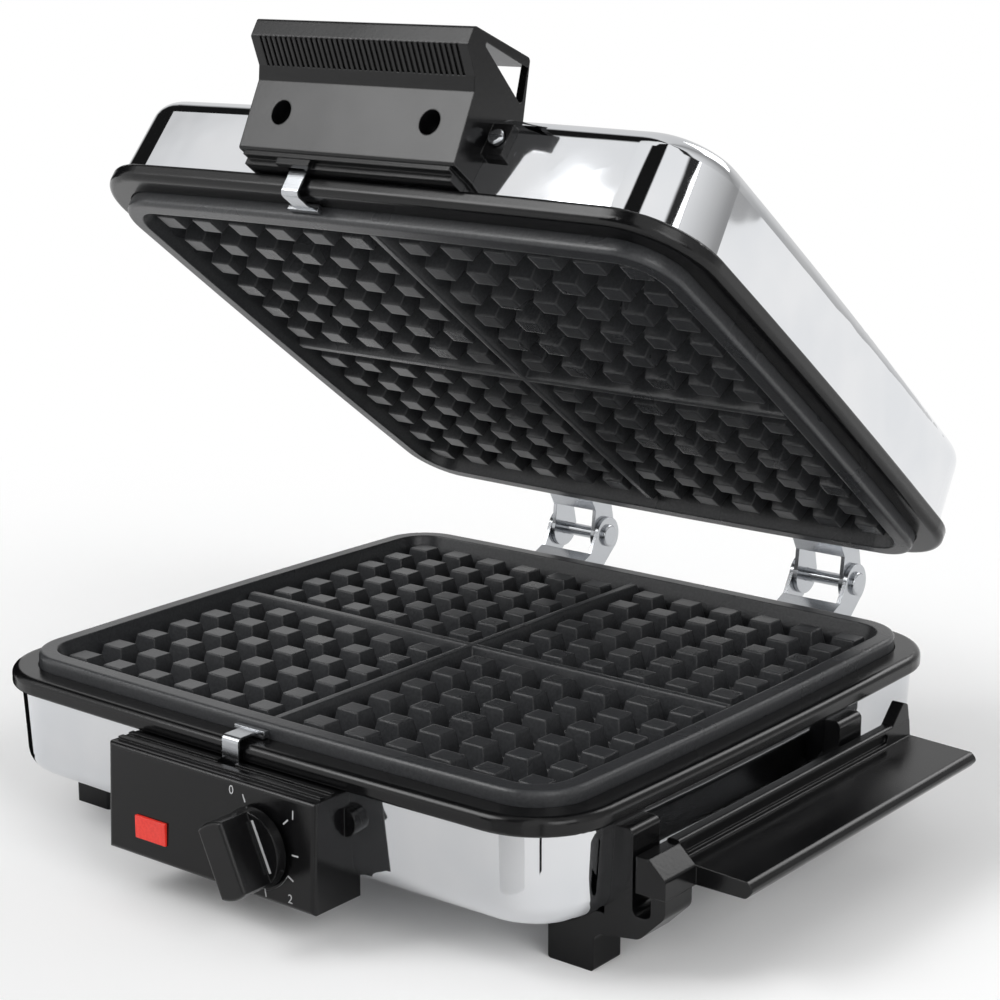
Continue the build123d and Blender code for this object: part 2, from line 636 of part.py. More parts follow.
def reflector_screws():
    """Screws up through the pan's flange into the frame."""
    screws = Part()
    for x, y in pan_screw_places():
        screws += Pos(x, y, SKIRT_BOTTOM - PAN_SHEET) * Rot(180, 0, 0) * screw(PAN_SCREW_LENGTH)
    return screws


# Hinges

def hinge_bracket(centre_x, outer_half):
    """Bent steel bracket from the back wall of the base up to the hinge pin."""
    x_low = centre_x - outer_half
    x_high = centre_x + outer_half
    inner_x = abs(centre_x) - HINGE_WIDTH / 2
    low = (wall_y(inner_x, EAR_LOW), EAR_LOW)
    high = (wall_y(inner_x, EAR_HIGH), EAR_HIGH)
    turn = (FRAME_DEPTH / 2 + EAR_FRAME_GAP, SHELL_TOP - EAR_FRAME_GAP)
    end = (HINGE_Y - WEB_END_BACK, MATING_HEIGHT - WEB_END_DOWN)
    sheet = HINGE_SHEET
    spine = [low, high, turn, end, (end[0] + 0.4 * sheet, end[1] - 0.9 * sheet),
             (turn[0] + 0.6 * sheet, turn[1] - sheet), (high[0] + sheet, high[1] - 0.6 * sheet),
             (low[0] + sheet, low[1])]
    bracket = side_profile(spine, x_low, x_high)
    tangent = EAR_R * 0.7
    upper = (HINGE_Y - tangent, MATING_HEIGHT + tangent)
    lower = (HINGE_Y + tangent, MATING_HEIGHT - tangent)
    web = [low, high, turn, end, upper, lower]
    for ear_x in (x_low, x_high - sheet):
        ear = side_profile(web, ear_x, ear_x + sheet)
        disc = Plane.YZ.offset(ear_x) * Pos(HINGE_Y, MATING_HEIGHT) * Circle(EAR_R)
        bracket += ear + extrude(disc, amount=sheet, dir=(1, 0, 0))
    pin_axis = Plane(origin=(centre_x, HINGE_Y, MATING_HEIGHT), z_dir=(1, 0, 0))
    bracket -= rod(pin_axis, PIN_R + RUNNING_GAP, -HINGE_WIDTH, HINGE_WIDTH)
    for plane in hinge_screw_planes():
        bracket -= rod(plane, SCREW_R + SLIP_GAP, -2, 4)
    return bracket


def lower_hinge(side):
    """Bracket on the base, with the outer pair of ears."""
    return hinge_bracket(side * HALF_SPACING, HINGE_WIDTH / 2)


def upper_hinge(side):
    """Bracket on the lid, drawn on the base's side, whose ears lie inside the base's."""
    return hinge_bracket(side * HALF_SPACING, HINGE_WIDTH / 2 - HINGE_SHEET - EAR_GAP)


def hinge_pin(side):
    """Headed pin through the four ears of one hinge."""
    plane = Plane(origin=(side * HALF_SPACING, HINGE_Y, MATING_HEIGHT), z_dir=(1, 0, 0))
    half = HINGE_WIDTH / 2
    pin = rod(plane, PIN_R, -half, half)
    pin += rod(plane, PIN_HEAD_R, half, half + PIN_HEAD_HEIGHT)
    pin += rod(plane, PIN_HEAD_R, -half - PIN_HEAD_HEIGHT, -half)
    return fillet(pin.edges().group_by(Axis.X)[0] + pin.edges().group_by(Axis.X)[-1], PIN_HEAD_HEIGHT / 2)


def hinge_screws():
    """Screws through both brackets and the back wall into the frame."""
    screws = Part()
    for plane in hinge_screw_planes():
        screws += plane * Pos(0, 0, HINGE_SHEET + 2 * SLIP_GAP) * screw(WALL_SCREW_LENGTH)
    return screws


# Control box

BOX_FACE_TOP = wall_y(0, SHELL_TOP) + BOX_DEPTH


def face_y(z):
    """Front of the control box, which leans out towards its foot."""
    return -BOX_FACE_TOP - (BOX_TOP - z) * tan(radians(BOX_LEAN))


def clip_seat(clip_x):
    """Moulded socket that holds the root of a plate clip, and the room in which the clip swings."""
    root_y, root_z = clip_root()
    swing = radians(CLIP_SWING + 3)
    room = SHELL_TOP - root_z + 2
    half = CLIP_SHEET / 2 + RUNNING_GAP
    wedge = [(root_y + half, root_z), (root_y + half + 2 * RUNNING_GAP, root_z + room),
             (root_y - half - room * tan(swing), root_z + room), (root_y - half, root_z)]
    socket = Plane(origin=(clip_x, root_y, root_z), z_dir=(1, 0, 0))
    half_width = CLIP_WIDTH / 2 + SLIP_GAP
    cut = rod(socket, CLIP_BEAD_R + RUNNING_GAP, -half_width, half_width)
    return cut + side_profile(wedge, clip_x - half_width, clip_x + half_width)


def box_screw_planes():
    """Where the control box's two screws pass through the front wall."""
    return [wall_plane(side * BOX_SCREW_X, BOX_SCREW_Z, -1) for side in (-1, 1)]


def control_box():
    """Hollow moulded box for the dial and the lamp."""
    rear = -wall_y(0, SHELL_BOTTOM) + BOX_OVERLAP
    half = BOX_WIDTH / 2
    outer = side_profile([(rear, BOX_BOTTOM), (face_y(BOX_BOTTOM), BOX_BOTTOM), (face_y(BOX_TOP), BOX_TOP),
                          (rear, BOX_TOP)], -half, half)
    outer = fillet(outer.faces().sort_by(Axis.Y)[0].edges(), BOX_EDGE_R)
    for reach in BOX_RIB_PLACES:
        rib_y = -BOX_FACE_TOP + reach
        outer += block(-half + 1, half - 1, rib_y - BOX_RIB, rib_y + BOX_RIB, BOX_TOP - 1, BOX_TOP + BOX_RIB)
    for side in (-1, 1):
        lug = Plane(origin=(side * half, -wall_y(half, BOX_LUG_Z), BOX_LUG_Z), z_dir=(0, -1, 0))
        outer += rod(lug, BOX_LUG_R, -2, BOX_LUG_THICK)
    wall = BOX_WALL
    low, top = BOX_BOTTOM + wall, BOX_TOP - wall
    inside = side_profile([(rear - wall, low), (face_y(low) + wall, low), (face_y(top) + wall, top),
                           (rear + wall, top), (rear + wall, SHELL_BOTTOM), (rear - wall, SHELL_BOTTOM)],
                          -half + wall, half - wall)
    box = outer - inside
    root_y, root_z = clip_root()
    box += block(LOWER_CLIP_X - CLIP_SEAT_HALF, LOWER_CLIP_X + CLIP_SEAT_HALF, face_y(top) + wall,
                 -wall_y(0, SHELL_TOP) - SLIP_GAP, root_z - CLIP_SEAT_WALL, BOX_TOP)
    box -= clip_seat(LOWER_CLIP_X)
    for plane in box_screw_planes():
        box += rod(plane, BOX_BOSS_R, 0, BOX_DEPTH - wall / 2)
        box -= rod(plane, SCREW_R + RUNNING_GAP, -1, BOX_DEPTH - 2 * wall)
    box -= envelope(0)
    box -= rod(dial_plane(), SHAFT_R + SLIP_GAP, -BOX_WALL - 3, 3)
    return box - lens_block(RUNNING_GAP, face_y(LENS_Z) - 2 * BOX_WALL, face_y(LENS_Z) + 2 * BOX_WALL)


def control_box_screws():
    """Screws from inside the base into the control box."""
    screws = Part()
    for plane in box_screw_planes():
        screws += plane * Pos(0, 0, -SHELL_WALL - RUNNING_GAP) * Rot(180, 0, 0) * screw(WALL_SCREW_LENGTH)
    return screws


def dial_plane():
    """Plane in front of the box face at the dial, facing the user."""
    lowest = face_y(DIAL_Z - DIAL_R)
    return Plane(origin=(DIAL_X, lowest, DIAL_Z), x_dir=(1, 0, 0), z_dir=(0, -1, 0))


def dial_knob():
    """Round skirt with a wide grip bar, turned to the off mark."""
    skirt = extrude(Pos(0, 0, DIAL_STAND) * Circle(DIAL_R), amount=DIAL_SKIRT, taper=DIAL_SKIRT_DRAFT)
    grip_face = Rectangle(DIAL_GRIP_WIDTH, 2 * DIAL_R) & Circle(DIAL_GRIP_LENGTH / 2)
    grip = extrude(Pos(0, 0, DIAL_STAND + DIAL_SKIRT) * grip_face, amount=DIAL_GRIP_HEIGHT)
    grip = fillet(grip.edges().group_by(Axis.Z)[-1], DIAL_EDGE_R)
    knob = skirt + grip
    knob -= upright(0, 0, SHAFT_R, 0, DIAL_STAND + SHAFT_DEPTH)
    return dial_plane() * Rot(0, 0, DIAL_OFF_ANGLE) * knob


def thermostat_front():
    """Front of the thermostat body, behind the face of the control box."""
    return face_y(DIAL_Z) + BOX_WALL + THERMOSTAT_STAND


def thermostat_shaft():
    """Shaft from the thermostat out to the dial."""
    plane = dial_plane()
    inner_end = plane.origin.Y - thermostat_front() - BEARING_DEPTH + 2 * SLIP_GAP
    return rod(plane, SHAFT_R, inner_end, DIAL_STAND + SHAFT_DEPTH)


def thermostat_body():
    """Thermostat with its shaft bearing."""
    front = thermostat_front()
    half = THERMOSTAT_WIDTH / 2
    body = block(DIAL_X - half, DIAL_X + half, front, front + THERMOSTAT_DEPTH,
                 DIAL_Z - THERMOSTAT_HEIGHT / 2, DIAL_Z + THERMOSTAT_HEIGHT / 2)
    bearing = Plane(origin=(DIAL_X, front, DIAL_Z), z_dir=(0, 1, 0))
    return body - rod(bearing, SHAFT_R + RUNNING_GAP, -1, BEARING_DEPTH)


def thermostat_bracket():
    """Sheet bracket across the window, behind the thermostat."""
    back = thermostat_front() + THERMOSTAT_DEPTH
    plate = block(DIAL_X - THERMOSTAT_WIDTH / 2, DIAL_X + THERMOSTAT_WIDTH / 2, back, back + BRACKET_REACH,
                  DIAL_Z - THERMOSTAT_HEIGHT / 2, DIAL_Z + THERMOSTAT_HEIGHT / 2)
    return plate - envelope(0)


def lens_block(margin, y_low, y_high):
    """Box round the lens's middle that is larger than the lens by this margin."""
    half_width = LENS_WIDTH / 2 + margin
    half_height = LENS_HEIGHT / 2 + margin
    return block(LENS_X - half_width, LENS_X + half_width, y_low, y_high, LENS_Z - half_height,
                 LENS_Z + half_height)


def lens_back():
    """Where the lens's flange lies, just behind the face of the control box."""
    return face_y(LENS_Z) + BOX_WALL + 1.5 * SLIP_GAP


def indicator_lens():
    """Red window of the lamp, with a flange behind the face."""
    back = lens_back()
    lens = lens_block(0, face_y(LENS_Z) - LENS_PROUD, back + LENS_FLANGE_THICK / 2)
    return lens + lens_block(LENS_FLANGE, back, back + LENS_FLANGE_THICK)


def indicator_lamp():
    """Neon lamp behind the lens."""
    plane = Plane(origin=(LENS_X, lens_back() + LENS_FLANGE_THICK, LENS_Z), z_dir=(0, 1, 0))
    return rod(plane, LAMP_R, 0, LAMP_LENGTH)


# Plate clips

def clip_root():
    """Root of the lower clip's spring strip: (y, z)."""
    return -FRAME_DEPTH / 2 - CLIP_STAND, SHELL_TOP - CLIP_ROOT_BELOW


def plate_clip(clip_x):
    """Spring strip from its root up past the frame, with a cross bar over the plate's lug."""
    root_y, root_z = clip_root()
    edge_y = -(FRAME_DEPTH / 2 - PLATE_INSET)
    bar_low = FRAME_TOP + SLIP_GAP + LUG_THICK + RUNNING_GAP
    sheet = CLIP_SHEET
    half = CLIP_WIDTH / 2
    plane = Plane(origin=(clip_x, root_y, root_z), z_dir=(1, 0, 0))
    clip = rod(plane, CLIP_BEAD_R, -half, half)
    strip = [(root_y - sheet / 2, root_z), (root_y - sheet / 2, bar_low + sheet, CLIP_BEND + sheet),
             (edge_y - SLIP_GAP, bar_low + sheet), (edge_y - SLIP_GAP, bar_low),
             (root_y + sheet / 2, bar_low, CLIP_BEND), (root_y + sheet / 2, root_z)]
    clip += side_profile(strip, clip_x - half, clip_x + half)
    clip += block(clip_x - CLIP_BAR / 2, clip_x + CLIP_BAR / 2, edge_y - LUG_REACH, edge_y - SLIP_GAP,
                  bar_low, bar_low + 1.6 * sheet)
    return clip


# Lid handle, drawn with the lid closed

def handle_points(profile):
    """Points (y, z) of one of the handle's profiles, with the lid closed."""
    front = -FRAME_DEPTH / 2
    return [(front - point[0], LID_SHELL_EDGE + point[1]) + point[2:] for point in profile]


def handle_plate():
    """Leaning plate, lip and sloping top of the handle, in one wall thickness."""
    top = LID_HEIGHT - HANDLE_TOP_GAP
    back = -FRAME_DEPTH / 2 + HANDLE_TOP_BACK
    bridge = [(back, top, HANDLE_TOP_EDGE_R), (back + HANDLE_WALL * 0.4, top - HANDLE_WALL, 1.0)]
    section = handle_points(HANDLE_OUTSIDE) + bridge + handle_points(HANDLE_INSIDE)
    return side_profile(section, -HANDLE_WIDTH / 2, HANDLE_WIDTH / 2)


def handle_gussets():
    """The handle's two end walls, each with a three-cornered window."""
    half = HANDLE_WIDTH / 2
    top_corner = [(-FRAME_DEPTH / 2 + HANDLE_TOP_BACK, LID_HEIGHT - HANDLE_TOP_GAP, HANDLE_TOP_EDGE_R)]
    outside = handle_points(HANDLE_GUSSET_FRONT) + top_corner + handle_points(HANDLE_GUSSET_BACK)
    window = handle_points(HANDLE_WINDOW)
    ends = [(low, low + HANDLE_WALL) for low in (-half, half - HANDLE_WALL)]
    return [side_profile(outside, *end) - side_profile(window, end[0] - 1, end[1] + 1) for end in ends]


def handle_feet():
    """What the handle stands on: a plinth, a step above it, side lugs and the clip's socket."""
    half = HANDLE_WIDTH / 2 - PLINTH_INSET
    front = FRAME_DEPTH / 2
    low = LID_SHELL_EDGE + SLIP_GAP
    inside = -front + PLINTH_INSIDE
    feet = [block(-half, half, -wall_y(0, SHELL_TOP) - PLINTH_REACH, inside, low, low + PLINTH_HEIGHT),
            block(-half, half, -front - HANDLE_STEP_REACH, inside, low + PLINTH_HEIGHT - 1,
                  LID_SHELL_EDGE + HANDLE_PLATE_ABOVE + 2)]
    lug_front = -wall_y(HANDLE_WIDTH / 2, SHELL_TOP) - HANDLE_LUG_FACE
    for side in (-1, 1):
        ends = sorted((side * (HANDLE_WIDTH / 2 - 1), side * (HANDLE_WIDTH / 2 + HANDLE_LUG_REACH)))
        feet.append(block(*ends, lug_front, -front + HANDLE_LUG_BACK, HANDLE_LUG_Z - HANDLE_LUG_HEIGHT / 2,
                          HANDLE_LUG_Z + HANDLE_LUG_HEIGHT / 2))
    root_z = clip_root()[1]
    feet.append(block(UPPER_CLIP_X - CLIP_SEAT_HALF, UPPER_CLIP_X + CLIP_SEAT_HALF, -front - CLIP_SEAT_REACH,
                      -wall_y(0, SHELL_TOP), low, LID_HEIGHT - root_z + CLIP_SEAT_WALL))
    return feet


def handle_bosses():
    """Round bosses behind the handle's plate, one on each of its screws, cut off at the plate's face."""
    front = FRAME_DEPTH / 2
    half = HANDLE_WIDTH / 2
    face = [(-front - reach, SHELL_TOP - height) for reach, height, *_ in HANDLE_OUTSIDE[:2]]
    inside = -front + PLINTH_INSIDE
    profile = [(inside, SHELL_TOP), (face[0][0], SHELL_TOP), *face, (inside, face[1][1])]
    within = side_profile(profile, -half, half)
    bosses = [rod(plane, HANDLE_BOSS_R, 0, HANDLE_BOSS_LENGTH) for plane in handle_screw_planes()[0]]
    return [mirrored(boss & within) for boss in bosses]


def grip_grooves():
    """Cuts for the fine ribs across the sloping underside of the handle's lip."""
    count = int((HANDLE_WIDTH - 2 * HANDLE_WALL) / GRIP_RIB_PITCH)
    near, far = handle_points([HANDLE_OUTSIDE[3][:2], HANDLE_OUTSIDE[2][:2]])
    rise = (near[1] - far[1]) / (near[0] - far[0])
    slope = sqrt(1 + rise ** 2)
    deeper = (-GRIP_RIB_DEPTH * rise / slope, GRIP_RIB_DEPTH / slope)
    strip = [near, far, (far[0] + deeper[0], far[1] + deeper[1]), (near[0] + deeper[0], near[1] + deeper[1])]
    places = [(index - (count - 1) / 2) * GRIP_RIB_PITCH for index in range(count)]
    return [side_profile(strip, x - GRIP_RIB_WIDTH / 2, x + GRIP_RIB_WIDTH / 2) for x in places]


def lid_handle():
    """Moulded grip: leaning plate, ribbed lip and sloping top slab between two end gussets."""
    handle = handle_plate() + handle_gussets() + handle_feet() + handle_bosses()
    plate_screws, lug_screws = handle_screw_planes()
    cuts = [rod(plane, SCREW_R + SLIP_GAP, -SCREW_CUT, SCREW_REACH) for plane in plate_screws + lug_screws]
    access_r = SCREW_HEAD_R + HANDLE_HEAD_ROOM
    lug_seat = lug_thickness() - SLIP_GAP
    cuts += [rod(plane, access_r, HANDLE_HEAD_SEAT, SCREW_REACH) for plane in plate_screws]
    cuts += [rod(plane, SCREW_HEAD_R + SLIP_GAP, lug_seat, SCREW_REACH) for plane in lug_screws]
    cuts += [clip_seat(UPPER_CLIP_X), envelope(0)]
    return handle - [mirrored(cut) for cut in cuts] - grip_grooves()


def lid_handle_screws():
    """Screws that hold the handle to the lid's front wall: two in the plate, one in each lug."""
    screws = Part()
    plate_planes, lug_planes = handle_screw_planes()
    for plane in plate_planes:
        screws += mirrored(plane * Pos(0, 0, HANDLE_HEAD_SEAT) * screw(WALL_SCREW_LENGTH))
    for plane in lug_planes:
        screws += mirrored(plane * Pos(0, 0, lug_thickness()) * screw(WALL_SCREW_LENGTH))
    return screws


def lug_thickness():
    """How far the handle's side lugs stand off the lid's wall at their screws."""
    lug_x = HANDLE_WIDTH / 2 + HANDLE_LUG_REACH / 2
    level = LID_HEIGHT - HANDLE_LUG_Z
    return wall_y(HANDLE_WIDTH / 2, SHELL_TOP) + HANDLE_LUG_FACE - wall_y(lug_x, level)


def lid_handle_nuts():
    """Square nuts inside the lid for the handle's screws."""
    nuts = Part()
    for planes in handle_screw_planes():
        for plane in planes:
            nut = Pos(0, 0, -SHELL_WALL - NUT_THICK / 2 - 0.1) * Box(NUT_SIDE, NUT_SIDE, NUT_THICK)
            nuts += mirrored(plane * nut - rod(plane, SCREW_R + RUNNING_GAP, -6, 2))
    return nuts


def lid_frame_screws():
    """Screws from under the upper plate through the lid frame's posts."""
    screws = Part()
    seat = PLATE_BOTTOM - SLIP_GAP - SCREW_HEAD_HEIGHT - 1
    for x, y in LID_POSTS:
        screws += mirrored(Pos(x, y, seat) * screw(seat - SHELL_FLOOR - 0.5))
    return screws


# Side handle

def side_handle():
    """Sloping shelf with a slotted inner lip and a pointed ear at its back end."""
    low = SHELF_TOP - SHELF_THICK
    lip_outer = LIP_X + LIP_THICK
    section = [(LIP_X, low), (LIP_X, LIP_TOP, 1.0), (lip_outer, LIP_TOP, 1.0),
               (lip_outer + 0.5, SHELF_TOP + 0.4), (SHELF_OUTER_X - 2, SHELF_TOP - 0.6, 2.0),
               (SHELF_OUTER_X, SHELF_TOP - 3, 1.5), (SHELF_OUTER_X - 2.5, low, 2.0)]
    ear_front = SHELF_REAR_Y - LIP_EAR_LENGTH
    lip_low = LIP_TOP - 1
    ear = [(ear_front, lip_low), (ear_front + 0.65 * LIP_EAR_LENGTH, LIP_TOP + LIP_EAR_HEIGHT, 1.5),
           (SHELF_REAR_Y - 1.5, LIP_TOP + 0.8 * LIP_EAR_HEIGHT, 1.5), (SHELF_REAR_Y, lip_low),
           (SHELF_REAR_Y, SHELF_TOP), (ear_front, SHELF_TOP)]
    arm = [(LIP_X, low), (LIP_X, lip_low), (lip_outer, lip_low), (BRACKET_ARM_X, SHELF_TOP, 1.5),
           (BRACKET_ARM_X, low)]
    shelf = front_profile(section, SHELF_FRONT_Y, SHELF_REAR_Y) + side_profile(ear, LIP_X, lip_outer)
    shelf += front_profile(arm, POST_FRONT_Y - BRACKET_THICK / 2, SHELF_FRONT_Y)
    slot_length = ear_front - SHELF_FRONT_Y - 2 * SLOT_MARGIN
    slot_plane = Plane(origin=(lip_outer, (ear_front + SHELF_FRONT_Y) / 2, (LIP_TOP + SHELF_TOP) / 2),
                       x_dir=(0, 1, 0), z_dir=(1, 0, 0))
    slot = slot_plane * Pos(0, 0, -LIP_SLOT_DEPTH) * SlotOverall(slot_length, LIP_SLOT_HEIGHT)
    return shelf - extrude(slot, amount=3)


def side_bracket(y):
    """Bracket with its own foot, from under the base round to the shelf."""
    foot_low = POST_X - FOOT_LENGTH / 2
    foot_high = POST_X + FOOT_LENGTH / 2
    seat = SHELF_TOP - SHELF_THICK
    inner = LIP_X - BRACKET_WALL
    outer = LIP_X + LIP_THICK + 1
    wall_x = FRAME_WIDTH / 2 - BRACKET_INSET
    wall_top = SHELL_TOP - 2
    arm_low = SHELL_BOTTOM - ARM_DROP
    arm_inside = SHELL_BOTTOM + 2
    points = [(foot_low, 0, 1.0), (foot_high, 0, 1.0), (foot_high, arm_low - 2.5, 3.0),
              (BRACKET_ARM_X - ARM_BEND, arm_low, 5.0), (BRACKET_ARM_X, SHELL_BOTTOM + 4, 4.0),
              (BRACKET_ARM_X, seat), (outer, seat), (outer, arm_inside, 2.4), (inner, arm_inside, 2.4),
              (inner, wall_top, 2.0), (wall_x, wall_top), (wall_x, SHELL_BOTTOM), (foot_low, SHELL_BOTTOM)]
    half = BRACKET_THICK / 2
    bracket = front_profile(points, y - half, y + half)
    return foot_screw_holes(bracket - envelope(0), POST_X, y)


def foot_screw_holes(foot, x, y):
    """Recess and shank hole for the screw that holds a foot."""
    foot -= upright(x, y, SCREW_HEAD_R + SLIP_GAP, -1, FOOT_SCREW_RECESS)
    return foot - upright(x, y, SCREW_R + SLIP_GAP, 0, SHELL_TOP)


def plain_foot(x, y):
    """Moulded foot block under the base."""
    body = block(x - FOOT_LENGTH / 2, x + FOOT_LENGTH / 2, y - BRACKET_THICK / 2, y + BRACKET_THICK / 2,
                 0, SHELL_BOTTOM)
    body = fillet(body.edges().filter_by(Axis.Z), FOOT_EDGE_R)
    return foot_screw_holes(body - envelope(0), x, y)


def foot_screws():
    """Screws up through feet and brackets into the frame's posts."""
    screws = Part()
    for x, y in BASE_POSTS:
        screws += Pos(x, y, FOOT_SCREW_RECESS) * Rot(180, 0, 0) * screw(FOOT_SCREW_LENGTH)
    return screws


# Supply and wiring

def bush(x, z, neck_r, flange_r, bore_r):
    """Flanged bush through the back wall of the base."""
    plane = wall_plane(x, z, 1)
    inner_end = -SHELL_WALL - BUSH_NECK
    body = rod(plane, neck_r, inner_end, GLAND_FLANGE)
    body += rod(plane, flange_r, SLIP_GAP, GLAND_FLANGE + SLIP_GAP)
    body += rod(plane, flange_r, inner_end, inner_end + GLAND_FLANGE)
    return body - rod(plane, bore_r, 2 * inner_end, -2 * inner_end)


def terminal_block():
    """Ceramic terminal block on the base's floor."""
    body = block(BLOCK_X - BLOCK_LENGTH / 2, BLOCK_X + BLOCK_LENGTH / 2, BLOCK_Y - BLOCK_WIDTH / 2,
                 BLOCK_Y + BLOCK_WIDTH / 2, SHELL_FLOOR, SHELL_FLOOR + BLOCK_HEIGHT)
    top = SHELL_FLOOR + BLOCK_HEIGHT
    places = [BLOCK_X + step * BLOCK_LENGTH / 3 for step in (-1, 0, 1)]
    return body - [upright(x, BLOCK_Y, TERMINAL_R, top - TERMINAL_DEPTH, top + 1) for x in places]


def thermal_fuse():
    """Thermal cut-off strapped under the reflector pan."""
    plane = Plane(origin=(FUSE_X, 0, PAN_FLOOR - FUSE_R), z_dir=(1, 0, 0))
    return rod(plane, FUSE_R, -FUSE_LENGTH / 2, FUSE_LENGTH / 2)


def lead(points):
    """Insulated lead through these points."""
    path = FilletPolyline(*points, radius=LEAD_BEND)
    section = Plane(origin=path @ 0, z_dir=path % 0) * Circle(LEAD_R)
    return sweep(section, path=path)


def internal_leads():
    """Leads in the space between the base's floor and the reflector pan."""
    block_edge = BLOCK_Y - BLOCK_WIDTH / 2
    bracket_y = -wall_y(DIAL_X, LEAD_Z) + 2 * SLIP_GAP
    second_x = BLOCK_X + BLOCK_LENGTH / 4
    bend_y = bracket_y + LEAD_RUN
    left_end = DIAL_X - THERMOSTAT_WIDTH / 4
    right_end = DIAL_X + THERMOSTAT_WIDTH / 4
    left = lead([(BLOCK_X, block_edge, LEAD_Z), (BLOCK_X, block_edge - LEAD_RUN, LEAD_Z),
                 (left_end, bend_y, LEAD_Z), (left_end, bracket_y, LEAD_Z)])
    right = lead([(second_x, block_edge, LEAD_Z), (second_x, block_edge - LEAD_RUN, LEAD_Z),
                  (FUSE_X, 0, LEAD_Z), (right_end, bend_y, LEAD_Z), (right_end, bracket_y, LEAD_Z)])
    return left + right


def build_nodes():
    """Every sub-part by name, in its place with the lid open."""
    nodes = {
        "base_shell": base_shell(),
        "base_frame": frame(BASE_POSTS, False),
        "lower_plate": cooking_plate(LOWER_CLIP_X),
        "lower_plate_hooks": plate_hooks(),
        "lower_heating_element": heating_element(),
        "lower_element_supports": element_supports(),
        "lower_reflector": reflector(),
        "lower_reflector_screws": reflector_screws(),
        "control_box": control_box(),
        "control_box_screws": control_box_screws(),
        "dial_knob": dial_knob(),
        "thermostat_shaft": thermostat_shaft(),
        "thermostat_body": thermostat_body(),
        "thermostat_bracket": thermostat_bracket(),
        "indicator_lens": indicator_lens(),
        "indicator_lamp": indicator_lamp(),
        "lower_plate_clip": plate_clip(LOWER_CLIP_X),
        "side_handle": side_handle(),
        "front_side_bracket": side_bracket(POST_FRONT_Y),
        "rear_side_bracket": side_bracket(BRACKET_REAR_Y),
        "front_left_foot": plain_foot(-POST_X, POST_FRONT_Y),
        "rear_left_foot": plain_foot(-POST_X, POST_REAR_Y),
        "rear_right_foot": plain_foot(POST_X, POST_REAR_Y),
        "foot_screws": foot_screws(),
        "lower_hinge_left": lower_hinge(-1),
        "lower_hinge_right": lower_hinge(1),
        "hinge_pin_left": hinge_pin(-1),
        "hinge_pin_right": hinge_pin(1),
        "lower_hinge_screws": hinge_screws(),
        "supply_gland": bush(GLAND_X, GLAND_Z, GLAND_R, GLAND_FLANGE_R, GLAND_BORE_R),
        "lower_lead_bush": bush(GROMMET_X, GROMMET_Z, GROMMET_R, GROMMET_FLANGE_R, GROMMET_BORE_R),
        "terminal_block": terminal_block(),
        "thermal_fuse": thermal_fuse(),
        "internal_leads": internal_leads(),
    }
    lid_nodes = {
        "lid_shell": mirrored(lid_shell()),
        "lid_frame": mirrored(frame(LID_POSTS, True)),
        "lid_frame_screws": lid_frame_screws(),
        "upper_plate": mirrored(cooking_plate(UPPER_CLIP_X)),
        "upper_plate_hooks": mirrored(plate_hooks()),
        "upper_heating_element": mirrored(heating_element()),
        "upper_element_supports": mirrored(element_supports()),
        "upper_reflector": mirrored(reflector()),
        "upper_reflector_screws": mirrored(reflector_screws()),
        "upper_plate_clip": mirrored(plate_clip(UPPER_CLIP_X)),
        "upper_hinge_left": mirrored(upper_hinge(-1)),
        "upper_hinge_right": mirrored(upper_hinge(1)),
        "upper_hinge_screws": mirrored(hinge_screws()),
        "upper_lead_bush": mirrored(bush(GROMMET_X, GROMMET_Z, GROMMET_R, GROMMET_FLANGE_R, GROMMET_BORE_R)),
        "lid_handle": lid_handle(),
        "lid_handle_screws": lid_handle_screws(),
        "lid_handle_nuts": lid_handle_nuts(),
    }
    for name, part in lid_nodes.items():
        nodes[name] = opened(part)
    return nodes


os.makedirs("parts", exist_ok=True)
for node_name, node_part in build_nodes().items():
    export_step(node_part, f"parts/{node_name}.step")
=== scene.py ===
"""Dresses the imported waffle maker: finishes for every part, and the small pieces that CAD leaves out."""

from __future__ import annotations

import logging
import math
from dataclasses import dataclass, field
from enum import Enum

import bmesh
import bpy
from mathutils import Matrix, Vector


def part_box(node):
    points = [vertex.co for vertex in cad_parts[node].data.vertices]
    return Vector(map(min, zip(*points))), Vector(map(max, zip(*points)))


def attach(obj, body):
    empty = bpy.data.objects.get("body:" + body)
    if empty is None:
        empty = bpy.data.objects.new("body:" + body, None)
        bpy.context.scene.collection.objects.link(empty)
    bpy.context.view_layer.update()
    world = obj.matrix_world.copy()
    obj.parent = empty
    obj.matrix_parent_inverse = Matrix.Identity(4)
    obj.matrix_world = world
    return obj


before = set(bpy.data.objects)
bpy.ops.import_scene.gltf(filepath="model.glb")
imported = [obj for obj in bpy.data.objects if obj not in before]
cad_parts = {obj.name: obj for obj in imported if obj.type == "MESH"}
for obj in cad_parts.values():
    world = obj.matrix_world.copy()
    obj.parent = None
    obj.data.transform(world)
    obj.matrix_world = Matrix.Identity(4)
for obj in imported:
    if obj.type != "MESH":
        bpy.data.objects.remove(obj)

LOG = logging.getLogger("waffle_maker")
MM = 0.001

# Patches over which a surface's gloss wanders, and the noise values at its lowest and highest roughness
GLOSS_PATCH = 40 * MM
GLOSS_LEVELS = (0.3, 0.7)
LOWEST_ROUGHNESS = 0.02
# Noise values at which the grain is lowest and highest
GRAIN_LEVELS = (0.35, 0.65)
POLYCARBONATE_IOR = 1.58
WHITE = (1.0, 1.0, 1.0, 1.0)


class Body(Enum):
    """The rigid bodies that the printed pieces and the painted highlight strip ride on."""

    BASE = "base"
    DIAL = "dial"


